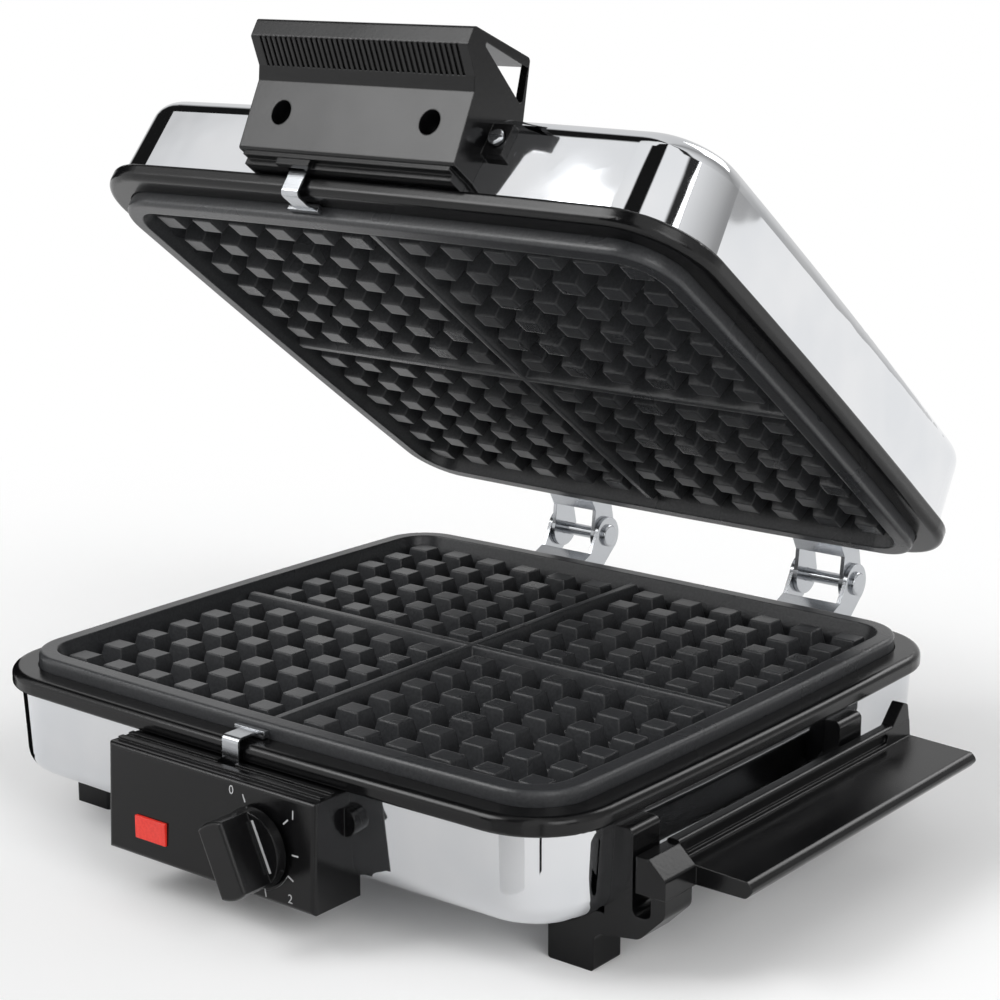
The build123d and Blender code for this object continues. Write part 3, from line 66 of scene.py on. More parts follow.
def linear(hex_colour: str) -> tuple[float, float, float, float]:
    """Turns an sRGB hex colour into linear values.

    Args:
        hex_colour: The colour as "#RRGGBB".

    Returns:
        Red, green, blue and an alpha of 1, linear.
    """
    channels = [int(hex_colour[i:i + 2], 16) / 255 for i in (1, 3, 5)]
    red, green, blue = [c / 12.92 if c <= 0.04045 else ((c + 0.055) / 1.055) ** 2.4 for c in channels]
    return red, green, blue, 1.0


def add_node(
    tree: bpy.types.NodeTree,
    kind: str,
    settings: dict[str, object] | None = None,
    values: dict[str, object] | None = None,
    links: dict[str, bpy.types.NodeSocket] | None = None,
) -> bpy.types.Node:
    """Adds one shader node with its settings, socket values and incoming links.

    Args:
        tree: The node tree of a material or world.
        kind: The node's type name.
        settings: Attributes of the node.
        values: Default values of its input sockets, by name or number.
        links: Output sockets that feed its input sockets, by name or number.

    Returns:
        The new node.
    """
    node = tree.nodes.new(kind)
    for key, value in (settings or {}).items():
        setattr(node, key, value)
    for key, value in (values or {}).items():
        node.inputs[key].default_value = value
    for key, socket in (links or {}).items():
        tree.links.new(socket, node.inputs[key])
    return node


@dataclass(frozen=True)
class Finish:
    """What every finish shares: a colour, a gloss, a fine texture and softened edges.

    Attributes:
        name: Name of the material.
        colour: Main colour, sRGB hex.
        second: Colour that the texture mixes in, sRGB hex.
        metallic: 0 for plastics and coatings, 1 for bare metal.
        roughness: Middle roughness of the surface.
        roughness_spread: How far the roughness wanders either side.
        grain: Size of the texture's grain, in metres.
        grain_height: Depth of the grain, in metres.
        edge: Radius of the softened edges, in metres.
        specular: How strongly a plastic or coating mirrors its surroundings.
    """

    name: str
    colour: str
    second: str
    metallic: float = 0.0
    roughness: float = 0.4
    roughness_spread: float = 0.05
    grain: float = 0.8 * MM
    grain_height: float = 0.01 * MM
    edge: float = 0.4 * MM
    specular: float = 0.5

    def material(self) -> bpy.types.Material:
        """Builds the material.

        Returns:
            The node material of this finish.
        """
        made = bpy.data.materials.new(self.name)
        made.use_nodes = True
        tree = made.node_tree
        tree.nodes.clear()
        place = add_node(tree, "ShaderNodeTexCoord").outputs["Object"]
        grain = self.grain_pattern(tree, place)
        tint = add_node(
            tree, "ShaderNodeMix", {"data_type": "RGBA"},
            {"A": linear(self.colour), "B": linear(self.second)}, {"Factor": grain},
        )
        patches = add_node(
            tree, "ShaderNodeTexNoise", values={"Scale": 1 / GLOSS_PATCH, "Detail": 3.0},
            links={"Vector": place},
        )
        gloss = add_node(
            tree, "ShaderNodeMapRange",
            values={
                "From Min": GLOSS_LEVELS[0], "From Max": GLOSS_LEVELS[1],
                "To Min": max(self.roughness - self.roughness_spread, LOWEST_ROUGHNESS),
                "To Max": self.roughness + self.roughness_spread,
            },
            links={"Value": patches.outputs[0]},
        )
        corners = add_node(tree, "ShaderNodeBevel", {"samples": 4}, {"Radius": self.edge})
        relief = add_node(
            tree, "ShaderNodeBump", values={"Strength": 1.0, "Distance": self.grain_height},
            links={"Height": grain, "Normal": corners.outputs[0]},
        )
        shader = add_node(
            tree, "ShaderNodeBsdfPrincipled",
            values={"Metallic": self.metallic, "Specular IOR Level": self.specular},
            links={
                "Base Color": tint.outputs["Result"],
                "Roughness": gloss.outputs[0],
                "Normal": relief.outputs[0],
            },
        )
        self.finish_shader(tree, shader, place)
        add_node(tree, "ShaderNodeOutputMaterial", links={"Surface": shader.outputs[0]})
        return made

    def grain_pattern(self, tree: bpy.types.NodeTree, place: bpy.types.NodeSocket) -> bpy.types.NodeSocket:
        """Even fine grain, from 0 to 1.

        Args:
            tree: The material's nodes.
            place: Object coordinates.

        Returns:
            The grain's value.
        """
        noise = add_node(
            tree, "ShaderNodeTexNoise", values={"Scale": 1 / self.grain, "Detail": 2.0},
            links={"Vector": place},
        )
        spread = add_node(
            tree, "ShaderNodeMapRange", values={"From Min": GRAIN_LEVELS[0], "From Max": GRAIN_LEVELS[1]},
            links={"Value": noise.outputs[0]},
        )
        return spread.outputs[0]

    def finish_shader(
        self, tree: bpy.types.NodeTree, shader: bpy.types.Node, place: bpy.types.NodeSocket
    ) -> None:
        """Lets a finish add its own touches to the shader.

        Args:
            tree: The material's nodes.
            shader: The material's shader node.
            place: Object coordinates.
        """


@dataclass(frozen=True)
class BrushedFinish(Finish):
    """Metal with fine parallel scratches along X, as rolled or brushed sheet has.

    Attributes:
        stretch: How many times longer than wide a scratch is.
    """

    stretch: float = 30.0

    def grain_pattern(self, tree: bpy.types.NodeTree, place: bpy.types.NodeSocket) -> bpy.types.NodeSocket:
        """Grain drawn out along X.

        Args:
            tree: The material's nodes.
            place: Object coordinates.

        Returns:
            The grain's value.
        """
        drawn = add_node(
            tree, "ShaderNodeMapping", values={"Scale": (1 / self.stretch, 1, 1)}, links={"Vector": place}
        )
        noise = add_node(
            tree, "ShaderNodeTexNoise", values={"Scale": 1 / self.grain, "Detail": 4.0},
            links={"Vector": drawn.outputs[0]},
        )
        return noise.outputs[0]


@dataclass(frozen=True)
class LensFinish(Finish):
    """Transparent moulded plastic that lets some light through.

    Attributes:
        transmission: Share of the light that passes through.
        painted_glow: Strength of its emission, painted light in its own colour, though it is no lamp.
    """

    transmission: float = 0.5
    painted_glow: float = 0.0

    def finish_shader(
        self, tree: bpy.types.NodeTree, shader: bpy.types.Node, place: bpy.types.NodeSocket
    ) -> None:
        """Sets the light that passes through the plastic, and its emission, which is painted light.

        Args:
            tree: The material's nodes; not used.
            shader: The material's shader node.
            place: Object coordinates; not used.
        """
        shader.inputs["Transmission Weight"].default_value = self.transmission
        shader.inputs["IOR"].default_value = POLYCARBONATE_IOR
        # Painted light: the plastic gives out light in its own colour, though it is no lamp
        shader.inputs["Emission Color"].default_value = linear(self.colour)
        shader.inputs["Emission Strength"].default_value = self.painted_glow


# Chrome plating on drawn and buffed steel: a mirror with a faint ripple from the buffing wheel
CHROME = Finish(
    "chrome_plated_steel", "#E6E7E9", "#DFE1E4", metallic=1.0, roughness=0.045, roughness_spread=0.02,
    grain=30 * MM, grain_height=0.03 * MM, edge=0.3 * MM,
)
# Phenolic moulded in a polished tool: near black, a soft gloss and a slight ripple
PHENOLIC = Finish(
    "moulded_black_phenolic", "#0A0A0B", "#101011", roughness=0.2, roughness_spread=0.05,
    grain=1.2 * MM, grain_height=0.004 * MM, edge=0.6 * MM, specular=0.36,
)
# Sprayed and baked non-stick coating on cast aluminium: dark grey with a pebbled satin sheen
NONSTICK = Finish(
    "baked_nonstick_coating", "#303133", "#3A3B3D", roughness=0.3, roughness_spread=0.06,
    grain=0.9 * MM, grain_height=0.018 * MM, edge=1.1 * MM,
)
# Rolled spring steel, nickel bright: hair-fine rolling lines, a little softer than chrome
BRIGHT_STEEL = BrushedFinish(
    "rolled_bright_steel", "#C9CBCE", "#B4B7BB", metallic=1.0, roughness=0.2, roughness_spread=0.05,
    grain=0.25 * MM, grain_height=0.003 * MM, edge=0.3 * MM,
)
# Heater sheath of nickel alloy, dulled and browned by heat
SHEATH = Finish(
    "heat_dulled_sheath", "#6C665C", "#57524B", metallic=1.0, roughness=0.45, roughness_spread=0.1,
    grain=4 * MM, grain_height=0.01 * MM,
)
# Mill-finish aluminium sheet of the reflector
REFLECTOR = BrushedFinish(
    "mill_finish_aluminium", "#D2D4D6", "#BFC2C5", metallic=1.0, roughness=0.28, grain=0.4 * MM,
    grain_height=0.004 * MM,
)
# Red polycarbonate lens with a faint painted glow: it gives out light in its own red, though it is no lamp
RED_LENS = LensFinish(
    "red_polycarbonate_lens", "#E0392C", "#CF2A20", roughness=0.22, grain=1 * MM, grain_height=0.005 * MM,
    transmission=0.25, painted_glow=0.25,
)
# Soda glass of the lamp behind the lens
LAMP_GLASS = LensFinish("lamp_glass", "#F0C8A8", "#E8B898", roughness=0.08, transmission=0.8)
# Steatite: white fired ceramic with a fine dry grain
STEATITE = Finish("fired_steatite", "#E9E4D8", "#DDD7C9", roughness=0.5, grain=0.6 * MM)
# Woven glass sleeve over the leads
SLEEVE = Finish(
    "woven_glass_sleeve", "#D8D2C2", "#C2BBA8", roughness=0.75, grain=0.9 * MM, grain_height=0.08 * MM,
)
# Pad-printed ink: flat pale grey on the black panel; the same grey also paints the highlight strip at the
# foot of the dial's grip
INK_AND_PAINTED_HIGHLIGHT = Finish("pad_printed_ink_and_painted_highlight", "#C8C9CA", "#BDBEBF", roughness=0.6, grain=0.5 * MM, edge=0.02 * MM)

NODE_FINISHES: dict[Finish, tuple[str, ...]] = {
    CHROME: ("base_shell", "lid_shell"),
    PHENOLIC: (
        "base_frame", "lid_frame", "control_box", "dial_knob", "side_handle", "front_side_bracket",
        "rear_side_bracket", "front_left_foot", "rear_left_foot", "rear_right_foot", "lid_handle",
        "supply_gland", "lower_lead_bush", "upper_lead_bush",
    ),
    NONSTICK: ("lower_plate", "upper_plate"),
    BRIGHT_STEEL: (
        "lower_plate_hooks", "upper_plate_hooks", "lower_reflector_screws", "upper_reflector_screws",
        "control_box_screws", "thermostat_bracket", "thermostat_shaft", "foot_screws", "lower_hinge_left",
        "lower_hinge_right", "upper_hinge_left", "upper_hinge_right", "hinge_pin_left", "hinge_pin_right",
        "lower_hinge_screws", "upper_hinge_screws", "lid_frame_screws", "lid_handle_screws",
        "lid_handle_nuts", "lower_plate_clip", "upper_plate_clip", "thermal_fuse",
    ),
    SHEATH: ("lower_heating_element", "upper_heating_element"),
    REFLECTOR: ("lower_reflector", "upper_reflector"),
    RED_LENS: ("indicator_lens",),
    LAMP_GLASS: ("indicator_lamp",),
    STEATITE: ("lower_element_supports", "upper_element_supports", "thermostat_body", "terminal_block"),
    SLEEVE: ("internal_leads",),
}


class Wardrobe:
    """Keeps one Blender material for each finish."""

    def __init__(self) -> None:
        """Starts with no material made."""
        self._made: dict[str, bpy.types.Material] = {}

    def wear(self, piece: bpy.types.Object, finish: Finish) -> None:
        """Gives a piece its finish.

        Args:
            piece: The object to dress.
            finish: The finish that it wears.
        """
        if finish.name not in self._made:
            self._made[finish.name] = finish.material()
        piece.data.materials.clear()
        piece.data.materials.append(self._made[finish.name])

    def dress_nodes(self) -> None:
        """Dresses every CAD node."""
        for finish, names in NODE_FINISHES.items():
            for name in names:
                self.wear(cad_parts[name], finish)
                LOG.info("dressed %s in %s", name, finish.name)


def new_piece(name: str, mesh: bmesh.types.BMesh, body: Body) -> bpy.types.Object:
    """Turns a bmesh into a piece that rides on a body.

    Args:
        name: Name of the piece.
        mesh: Its shape, in the row frame; freed here.
        body: The body that it moves with.

    Returns:
        The new object.
    """
    data = bpy.data.meshes.new(name)
    mesh.to_mesh(data)
    mesh.free()
    piece = bpy.data.objects.new(name, data)
    bpy.context.scene.collection.objects.link(piece)
    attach(piece, body.value)
    LOG.info("made %s on %s, %d faces", name, body.value, len(data.polygons))
    return piece


@dataclass
class ControlPanel:
    """Printed scale round the dial, and a pale strip at the foot of its grip that is a painted highlight.

    Attributes:
        centre_x: The dial's centre, to the right of the middle.
        lean: Angle by which the panel's face leans back.
        face_rounding: Radius of the rounding at the face's lower edge.
        scale_radius: From the dial's centre to the ticks' inner ends.
        ink: Thickness of the printed ink, and of the painted highlight strip.
        line: Width of a printed line.
        tick: Length of a tick.
        arc_tick: Length of the tick that ends the arc, as a share of a tick's.
        numeral_size: Type size of the numbers.
        numeral_radius: From the dial's centre to a number's.
        off_angle: Where the dial stands at rest, in degrees clockwise from the top; the painted highlight
            strip is laid at this turn.
        painted_highlight_size: Width and length of the pale strip that paints the highlight along the foot of
            the grip.
        painted_highlight_offset: From the dial's centre to the painted highlight strip, across the grip.
        painted_highlight_bevel: Rounding of the painted highlight strip's edges.
        skirt: Thickness of the dial's round skirt, which carries the painted highlight strip.
        numerals: The numbers and their angles, in degrees clockwise from the top.
        ticks: Angles of the ticks.
        arc: First and last angle of the printed arc.
        arc_steps: Straight pieces that the arc is made of.
    """

    centre_x: float = 22 * MM
    lean: float = math.radians(2.5)
    face_rounding: float = 1.5 * MM
    scale_radius: float = 13.9 * MM
    ink: float = 0.06 * MM
    line: float = 0.5 * MM
    tick: float = 2.6 * MM
    arc_tick: float = 0.8
    numeral_size: float = 4.06 * MM
    numeral_radius: float = 19.2 * MM
    off_angle: float = -25.0
    painted_highlight_size: tuple[float, float] = (1.0 * MM, 17 * MM)
    painted_highlight_offset: float = 6.6 * MM
    painted_highlight_bevel: float = 0.02 * MM
    skirt: float = 3.5 * MM
    numerals: dict[str, float] = field(
        default_factory=lambda: {"0": -38.0, "1": 47.0, "2": 136.0, "3": 236.0}
    )
    ticks: tuple[float, ...] = (-25.0, 47.0, 88.0, 118.0, 236.0)
    arc: tuple[float, float] = (118.0, 168.0)
    arc_steps: int = 18

    def face(self) -> Matrix:
        """Plane of the panel's face at the dial's centre: X to the right, Y up it and Z outwards.

        Returns:
            The plane as a matrix.
        """
        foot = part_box("control_box")[0]
        height = self.dial_height()
        front = foot.y + (height - foot.z - self.face_rounding) * math.tan(self.lean)
        place = Matrix.Translation((self.centre_x, front, height))
        return place @ Matrix.Rotation(math.radians(90) - self.lean, 4, "X")

    def dial_height(self) -> float:
        """Height of the dial's centre above the table.

        Returns:
            The middle of the knob's box.
        """
        low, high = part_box("dial_knob")
        return (low.z + high.z) / 2

    def bar(self, mesh: bmesh.types.BMesh, angle: float, near: float, far: float) -> None:
        """Adds one printed tick.

        Args:
            mesh: The marks' mesh, in the face's plane.
            angle: Degrees clockwise from the top.
            near: Inner end's distance from the centre.
            far: Outer end's distance from the centre.
        """
        made = bmesh.ops.create_cube(mesh, size=1.0)["verts"]
        bmesh.ops.scale(mesh, vec=(self.line, far - near, self.ink), verts=made)
        bmesh.ops.translate(mesh, vec=(0, (near + far) / 2, self.ink / 2), verts=made)
        turn = Matrix.Rotation(-math.radians(angle), 3, "Z")
        bmesh.ops.rotate(mesh, cent=(0, 0, 0), matrix=turn, verts=made)

    def marks(self) -> bmesh.types.BMesh:
        """Ticks and the arc of the scale.

        Returns:
            Their mesh, placed on the panel's face.
        """
        mesh = bmesh.new()
        for angle in self.ticks:
            self.bar(mesh, angle, self.scale_radius, self.scale_radius + self.tick)
        near, far = self.scale_radius - self.line, self.scale_radius + self.tick * self.arc_tick
        self.bar(mesh, self.arc[1], near, far)
        start = bmesh.ops.create_grid(mesh, x_segments=1, y_segments=1, size=0.5)["verts"]
        bmesh.ops.scale(mesh, vec=(self.line, self.ink, 1), verts=start)
        bmesh.ops.rotate(mesh, cent=(0, 0, 0), matrix=Matrix.Rotation(math.radians(90), 3, "Y"), verts=start)
        bmesh.ops.rotate(mesh, cent=(0, 0, 0), matrix=Matrix.Rotation(math.radians(90), 3, "Z"), verts=start)
        bmesh.ops.translate(mesh, vec=(0, self.scale_radius, self.ink / 2), verts=start)
        bmesh.ops.rotate(
            mesh, cent=(0, 0, 0), matrix=Matrix.Rotation(-math.radians(self.arc[0]), 3, "Z"), verts=start
        )
        faces = list({face for vert in start for face in vert.link_faces})
        bmesh.ops.spin(
            mesh, geom=faces, cent=(0, 0, 0), axis=(0, 0, 1), dvec=(0, 0, 0),
            angle=-math.radians(self.arc[1] - self.arc[0]), steps=self.arc_steps, use_duplicate=False,
        )
        bmesh.ops.recalc_face_normals(mesh, faces=mesh.faces)
        bmesh.ops.transform(mesh, matrix=self.face(), verts=mesh.verts)
        return mesh

    def numeral(self, text: str, angle: float) -> bmesh.types.BMesh:
        """One plain number of the scale.

        Args:
            text: The number.
            angle: Degrees clockwise from the top.

        Returns:
            Its mesh, placed on the panel's face.
        """
        curve = bpy.data.curves.new("numeral", "FONT")
        curve.body = text
        curve.size = self.numeral_size
        curve.extrude = self.ink / 2
        curve.align_x = "CENTER"
        curve.align_y = "CENTER"
        holder = bpy.data.objects.new("numeral", curve)
        bpy.context.scene.collection.objects.link(holder)
        data = bpy.data.meshes.new_from_object(holder)
        mesh = bmesh.new()
        mesh.from_mesh(data)
        bpy.data.objects.remove(holder)
        bpy.data.curves.remove(curve)
        bpy.data.meshes.remove(data)
        turn = math.radians(angle)
        offset = Vector((math.sin(turn), math.cos(turn), 0)) * self.numeral_radius
        bmesh.ops.translate(mesh, vec=offset + Vector((0, 0, self.ink / 2)), verts=mesh.verts)
        bmesh.ops.transform(mesh, matrix=self.face(), verts=mesh.verts)
        return mesh

    def painted_highlight(self) -> bmesh.types.BMesh:
        """Pale strip along the foot of the grip, on the dial's skirt: a painted highlight where the grip
        meets the skirt.

        Returns:
            Its mesh, at the off position.
        """
        skirt_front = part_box("dial_knob")[1].y - self.skirt
        mesh = bmesh.new()
        made = bmesh.ops.create_cube(mesh, size=1.0)["verts"]
        width, length = self.painted_highlight_size
        bmesh.ops.scale(mesh, vec=(width, self.ink, length), verts=made)
        bmesh.ops.bevel(
            mesh, geom=mesh.edges[:], offset=self.painted_highlight_bevel, offset_type="OFFSET", segments=1,
            profile=0.5, affect="EDGES", material=-1,
        )
        bmesh.ops.translate(mesh, vec=(self.painted_highlight_offset, 0, 0), verts=mesh.verts)
        turn = Matrix.Rotation(math.radians(self.off_angle), 4, "Y")
        place = Matrix.Translation((self.centre_x, skirt_front - self.ink / 2, self.dial_height()))
        bmesh.ops.transform(mesh, matrix=place @ turn, verts=mesh.verts)
        return mesh

    def build(self, wardrobe: Wardrobe) -> None:
        """Makes the printed marks, the numbers and the pale strip that paints a highlight.

        Args:
            wardrobe: Where the finishes come from.
        """
        pieces = [new_piece("dial_scale", self.marks(), Body.BASE)]
        for text, angle in self.numerals.items():
            name = f"dial_number_{text}"
            pieces.append(new_piece(name, self.numeral(text, angle), Body.BASE))
        # The dial's pale strip is a painted highlight where the grip meets the skirt, not print
        pieces.append(new_piece("dial_painted_highlight", self.painted_highlight(), Body.DIAL))
        for piece in pieces:
            wardrobe.wear(piece, INK_AND_PAINTED_HIGHLIGHT)


@dataclass(frozen=True)
class Lamp:
    """A square area lamp that points at the object.

    Attributes:
        name: Name of the lamp.
        place: Where it hangs, in metres.
        size: Side of the square, in metres.
        power: Watts.
    """

    name: str
    place: tuple[float, float, float]
    size: float
    power: float


@dataclass(frozen=True)
class Card:
    """A card that stands on the floor and shows only in reflections.

    Attributes:
        name: Name of the card.
        place: Where it stands, X and Y, in metres.
        facing: Bearing that it faces, in degrees from the front towards the right.
        width: Width, in metres.
        colour: Its colour, sRGB hex.
        height: Height, in metres.
    """

    name: str
    place: tuple[float, float]
    facing: float
    width: float
    colour: str
    height: float = 90 * MM


@dataclass
class Studio:
    """Pale floor, soft light, what the chrome mirrors, and the camera.

    Attributes:
        azimuth: The camera's bearing, in degrees from the front towards the right.
        elevation: The camera's height angle, in degrees.
        distance: From the camera to its target, in metres.
        target: The point that the camera looks at.
        focal_pixels: Focal length in pixels of the image.
        image_pixels: Width of the image.
        sensor: Width of the camera's sensor, in millimetres.
        clipping: Nearest and furthest distance that the camera sees.
        floor_size: Side of the floor.
        floor_colour: Colour of the floor, sRGB hex.
        floor_roughness: How matt the floor is.
        floor_fade: Distances from the object over which the floor turns plain white.
        soft_light: Strength of the light that comes from all round.
        backdrop: Strength of the white that stands behind the object and in reflections.
        lamp_aim: The point that every lamp points at.
        mirrored_room: Bearings and brightnesses of the room that metal and gloss mirror.
        lamps: The lamps.
        cards: The cards that the chrome mirrors.
    """

    azimuth: float = 38.27
    elevation: float = 13.89
    distance: float = 0.6
    target: tuple[float, float, float] = (0.13097, -0.150, 0.16121)
    focal_pixels: float = 2329.1
    image_pixels: float = 1000.0
    sensor: float = 36.0
    clipping: tuple[float, float] = (0.01, 50.0)
    floor_size: float = 6.0
    floor_colour: str = "#F7F7F7"
    floor_roughness: float = 0.9
    floor_fade: tuple[float, float] = (0.28, 0.62)
    soft_light: float = 0.55
    backdrop: float = 1.0
    lamp_aim: tuple[float, float, float] = (0, 0, 0.1)
    mirrored_room: tuple[tuple[float, float], ...] = (
        (-180, 0.70), (-122, 0.78), (-112, 0.01), (-80, 0.01), (-75, 0.90), (-34, 0.98), (-30, 0.01),
        (14, 0.01), (18, 1.0), (70, 1.0), (74, 0.03), (86, 0.03), (91, 0.90), (100, 0.80), (140, 0.32),
        (179, 0.70),
    )
    lamps: tuple[Lamp, ...] = (
        Lamp("key", (-1.2, -1.6, 1.9), 1.4, 32),
        Lamp("fill", (1.9, -0.7, 1.2), 1.2, 12),
        Lamp("back", (0.4, 1.8, 1.6), 1.2, 14),
    )
    cards: tuple[Card, ...] = (
        Card("corner_card", (0.106, -0.168), 0, 46 * MM, "#F2F2F2"),
        Card("second_corner_card", (0.160, -0.160), 20, 5 * MM, "#1C1C1C"),
        Card("left_card", (-0.152, -0.098), 60, 30 * MM, "#101010"),
    )

    def camera(self) -> None:
        """Places the camera at the photograph's viewing angle."""
        azimuth, elevation = math.radians(self.azimuth), math.radians(self.elevation)
        level = math.cos(elevation)
        back = Vector((math.sin(azimuth) * level, -math.cos(azimuth) * level, math.sin(elevation)))
        data = bpy.data.cameras.new("camera")
        data.sensor_width = self.sensor
        data.lens = self.focal_pixels / self.image_pixels * self.sensor
        data.clip_start, data.clip_end = self.clipping
        camera = bpy.data.objects.new("camera", data)
        camera.location = Vector(self.target) + back * self.distance
        camera.rotation_euler = (-back).to_track_quat("-Z", "Y").to_euler()
        bpy.context.scene.collection.objects.link(camera)
        bpy.context.scene.camera = camera

    def seen_directly(self, tree: bpy.types.NodeTree, with_camera: bool) -> bpy.types.NodeSocket:
        """Tells the rays that show the surroundings from the rays that light the object.

        Args:
            tree: The nodes of the floor or the world.
            with_camera: Whether camera rays count as well as mirrored and transmitted ones.

        Returns:
            1 for those rays and 0 for the rest.
        """
        path = add_node(tree, "ShaderNodeLightPath")
        through = add_node(
            tree, "ShaderNodeMath", {"operation": "MAXIMUM"},
            links={0: path.outputs["Is Glossy Ray"], 1: path.outputs["Is Transmission Ray"]},
        )
        if not with_camera:
            return through.outputs[0]
        seen = add_node(
            tree, "ShaderNodeMath", {"operation": "MAXIMUM"},
            links={0: through.outputs[0], 1: path.outputs["Is Camera Ray"]},
        )
        return seen.outputs[0]

    def floor(self) -> None:
        """Lays the pale floor, which turns plain white away from the object."""
        mesh = bmesh.new()
        bmesh.ops.create_grid(mesh, x_segments=1, y_segments=1, size=self.floor_size / 2)
        data = bpy.data.meshes.new("floor")
        mesh.to_mesh(data)
        mesh.free()
        floor = bpy.data.objects.new("floor", data)
        material = bpy.data.materials.new("floor")
        material.use_nodes = True
        tree = material.node_tree
        tree.nodes.clear()
        place = add_node(tree, "ShaderNodeTexCoord").outputs["Object"]
        reach = add_node(tree, "ShaderNodeVectorMath", {"operation": "LENGTH"}, links={0: place})
        fade = add_node(
            tree, "ShaderNodeMapRange", {"interpolation_type": "SMOOTHSTEP"},
            {"From Min": self.floor_fade[0], "From Max": self.floor_fade[1]},
            {"Value": reach.outputs["Value"]},
        )
        shown = add_node(
            tree, "ShaderNodeMath", {"operation": "MULTIPLY"},
            links={0: fade.outputs[0], 1: self.seen_directly(tree, True)},
        )
        matt = add_node(
            tree, "ShaderNodeBsdfDiffuse",
            values={"Color": linear(self.floor_colour), "Roughness": self.floor_roughness},
        )
        white = add_node(tree, "ShaderNodeEmission", values={"Color": WHITE, "Strength": self.backdrop})
        either = add_node(
            tree, "ShaderNodeMixShader", links={0: shown.outputs[0], 1: matt.outputs[0], 2: white.outputs[0]}
        )
        add_node(tree, "ShaderNodeOutputMaterial", links={"Surface": either.outputs[0]})
        data.materials.append(material)
        bpy.context.scene.collection.objects.link(floor)

    def stand_card(self, card: Card) -> None:
        """Stands one card on the floor.

        Args:
            card: The card.
        """
        mesh = bmesh.new()
        bmesh.ops.create_grid(mesh, x_segments=1, y_segments=1, size=0.5)
        bmesh.ops.scale(mesh, vec=(card.width, card.height, 1), verts=mesh.verts)
        upright = Matrix.Rotation(math.radians(90), 3, "X")
        bmesh.ops.rotate(mesh, cent=(0, 0, 0), matrix=upright, verts=mesh.verts)
        bmesh.ops.translate(mesh, vec=(0, 0, card.height / 2), verts=mesh.verts)
        turn = Matrix.Rotation(math.radians(card.facing), 3, "Z")
        bmesh.ops.rotate(mesh, cent=(0, 0, 0), matrix=turn, verts=mesh.verts)
        data = bpy.data.meshes.new(card.name)
        mesh.to_mesh(data)
        mesh.free()
        board = bpy.data.objects.new(card.name, data)
        board.location = (*card.place, 0)
        material = bpy.data.materials.new(card.name)
        material.use_nodes = True
        shader = material.node_tree.nodes["Principled BSDF"]
        shader.inputs["Base Color"].default_value = linear(card.colour)
        shader.inputs["Roughness"].default_value = 1.0
        shader.inputs["Specular IOR Level"].default_value = 0.0
        data.materials.append(material)
        board.visible_camera = False
        board.visible_diffuse = False
        board.visible_shadow = False
        bpy.context.scene.collection.objects.link(board)

    def hang_lamp(self, lamp: Lamp) -> None:
        """Hangs one lamp and points it at the object.

        Args:
            lamp: The lamp.
        """
        data = bpy.data.lights.new(lamp.name, "AREA")
        data.shape = "SQUARE"
        data.size = lamp.size
        data.energy = lamp.power
        panel = bpy.data.objects.new(lamp.name, data)
        panel.location = lamp.place
        aim = Vector(self.lamp_aim) - Vector(lamp.place)
        panel.rotation_euler = aim.to_track_quat("-Z", "Y").to_euler()
        bpy.context.scene.collection.objects.link(panel)

    def room(self, tree: bpy.types.NodeTree) -> bpy.types.NodeSocket:
        """Upright bands of white, grey and black all round, by their bearing from the front.

        Args:
            tree: The world's nodes.

        Returns:
            The colour that a mirrored ray meets.
        """
        towards = add_node(tree, "ShaderNodeTexCoord").outputs["Generated"]
        parts = add_node(tree, "ShaderNodeSeparateXYZ", links={0: towards})
        front = add_node(
            tree, "ShaderNodeMath", {"operation": "MULTIPLY"}, {1: -1.0}, {0: parts.outputs["Y"]}
        )
        bearing = add_node(
            tree, "ShaderNodeMath", {"operation": "ARCTAN2"},
            links={0: parts.outputs["X"], 1: front.outputs[0]},
        )
        turn = add_node(
            tree, "ShaderNodeMapRange", values={"From Min": -math.pi, "From Max": math.pi},
            links={"Value": bearing.outputs[0]},
        )
        bands = add_node(tree, "ShaderNodeValToRGB", links={0: turn.outputs[0]})
        stops = bands.color_ramp.elements
        stops.remove(stops[1])
        for index, (degrees, brightness) in enumerate(self.mirrored_room):
            place = (degrees + 180) / 360
            stop = stops[0] if index == 0 else stops.new(place)
            stop.position = place
            stop.color = (brightness, brightness, brightness, 1)
        return bands.outputs[0]

    def world(self) -> None:
        """Soft light from all round, a white backdrop, and the banded room that reflections show."""
        world = bpy.data.worlds.new("studio")
        world.use_nodes = True
        tree = world.node_tree
        tree.nodes.clear()
        soft = add_node(tree, "ShaderNodeBackground", values={"Color": WHITE, "Strength": self.soft_light})
        white = add_node(tree, "ShaderNodeBackground", values={"Color": WHITE, "Strength": self.backdrop})
        banded = add_node(
            tree, "ShaderNodeBackground", values={"Strength": self.backdrop}, links={"Color": self.room(tree)}
        )
        mirrored = add_node(
            tree, "ShaderNodeMixShader",
            links={0: self.seen_directly(tree, False), 1: white.outputs[0], 2: banded.outputs[0]},
        )
        either = add_node(
            tree, "ShaderNodeMixShader",
            links={0: self.seen_directly(tree, True), 1: soft.outputs[0], 2: mirrored.outputs[0]},
        )
        add_node(tree, "ShaderNodeOutputWorld", links={"Surface": either.outputs[0]})
        bpy.context.scene.world = world

    def build(self) -> None:
        """Sets up the whole studio."""
        self.camera()
        self.floor()
        self.world()
        for lamp in self.lamps:
            self.hang_lamp(lamp)
        for card in self.cards:
            self.stand_card(card)
        bpy.context.scene.view_settings.view_transform = "Standard"


def corners(bounds: tuple[Vector, Vector]) -> list[list[float]]:
    """Turns a box into plain lists.

    Args:
        bounds: Lowest and highest corner.

    Returns:
        The two corners as lists of numbers.
    """
    return [list(map(float, corner)) for corner in bounds]


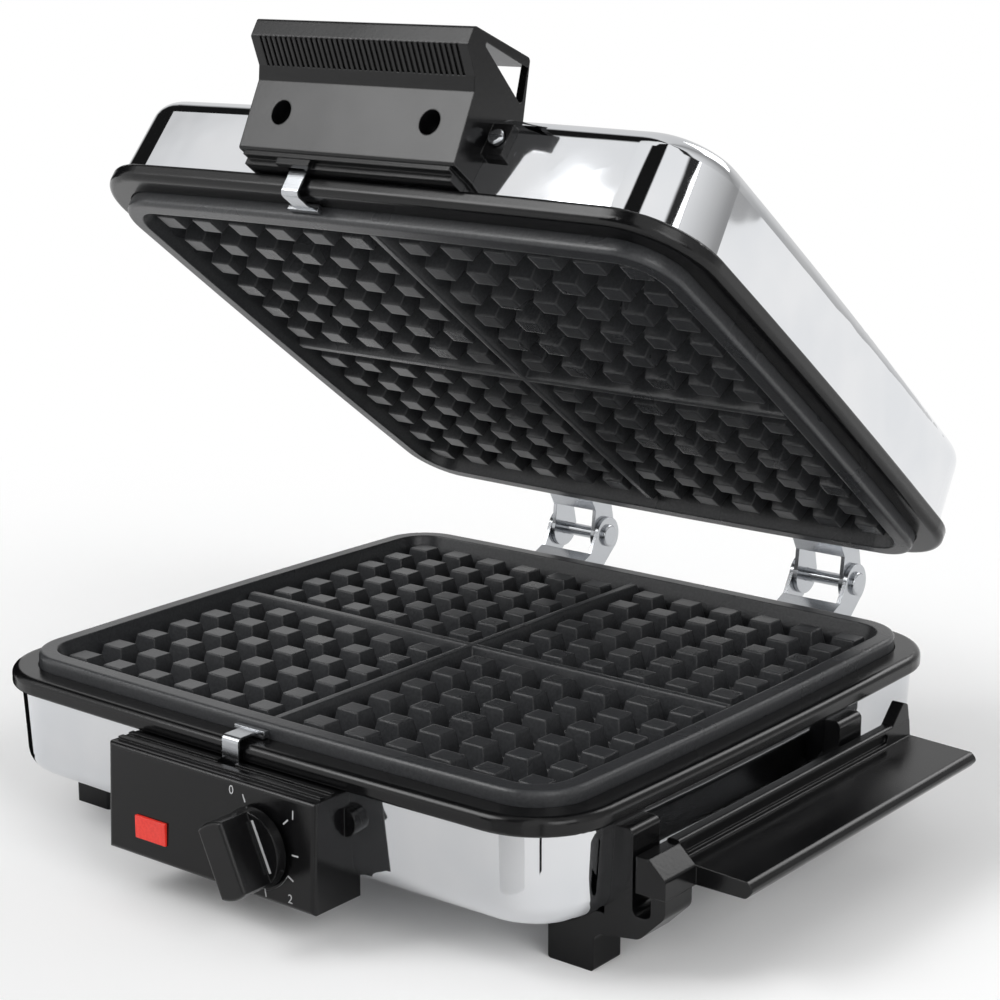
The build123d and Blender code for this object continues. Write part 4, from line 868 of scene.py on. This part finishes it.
def main() -> None:
    """Builds the studio and dresses the waffle maker."""
    logging.basicConfig(level=logging.INFO, format="%(name)s: %(message)s")
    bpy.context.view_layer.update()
    Studio().build()
    wardrobe = Wardrobe()
    wardrobe.dress_nodes()
    ControlPanel().build(wardrobe)


if __name__ == "__main__":
    main()
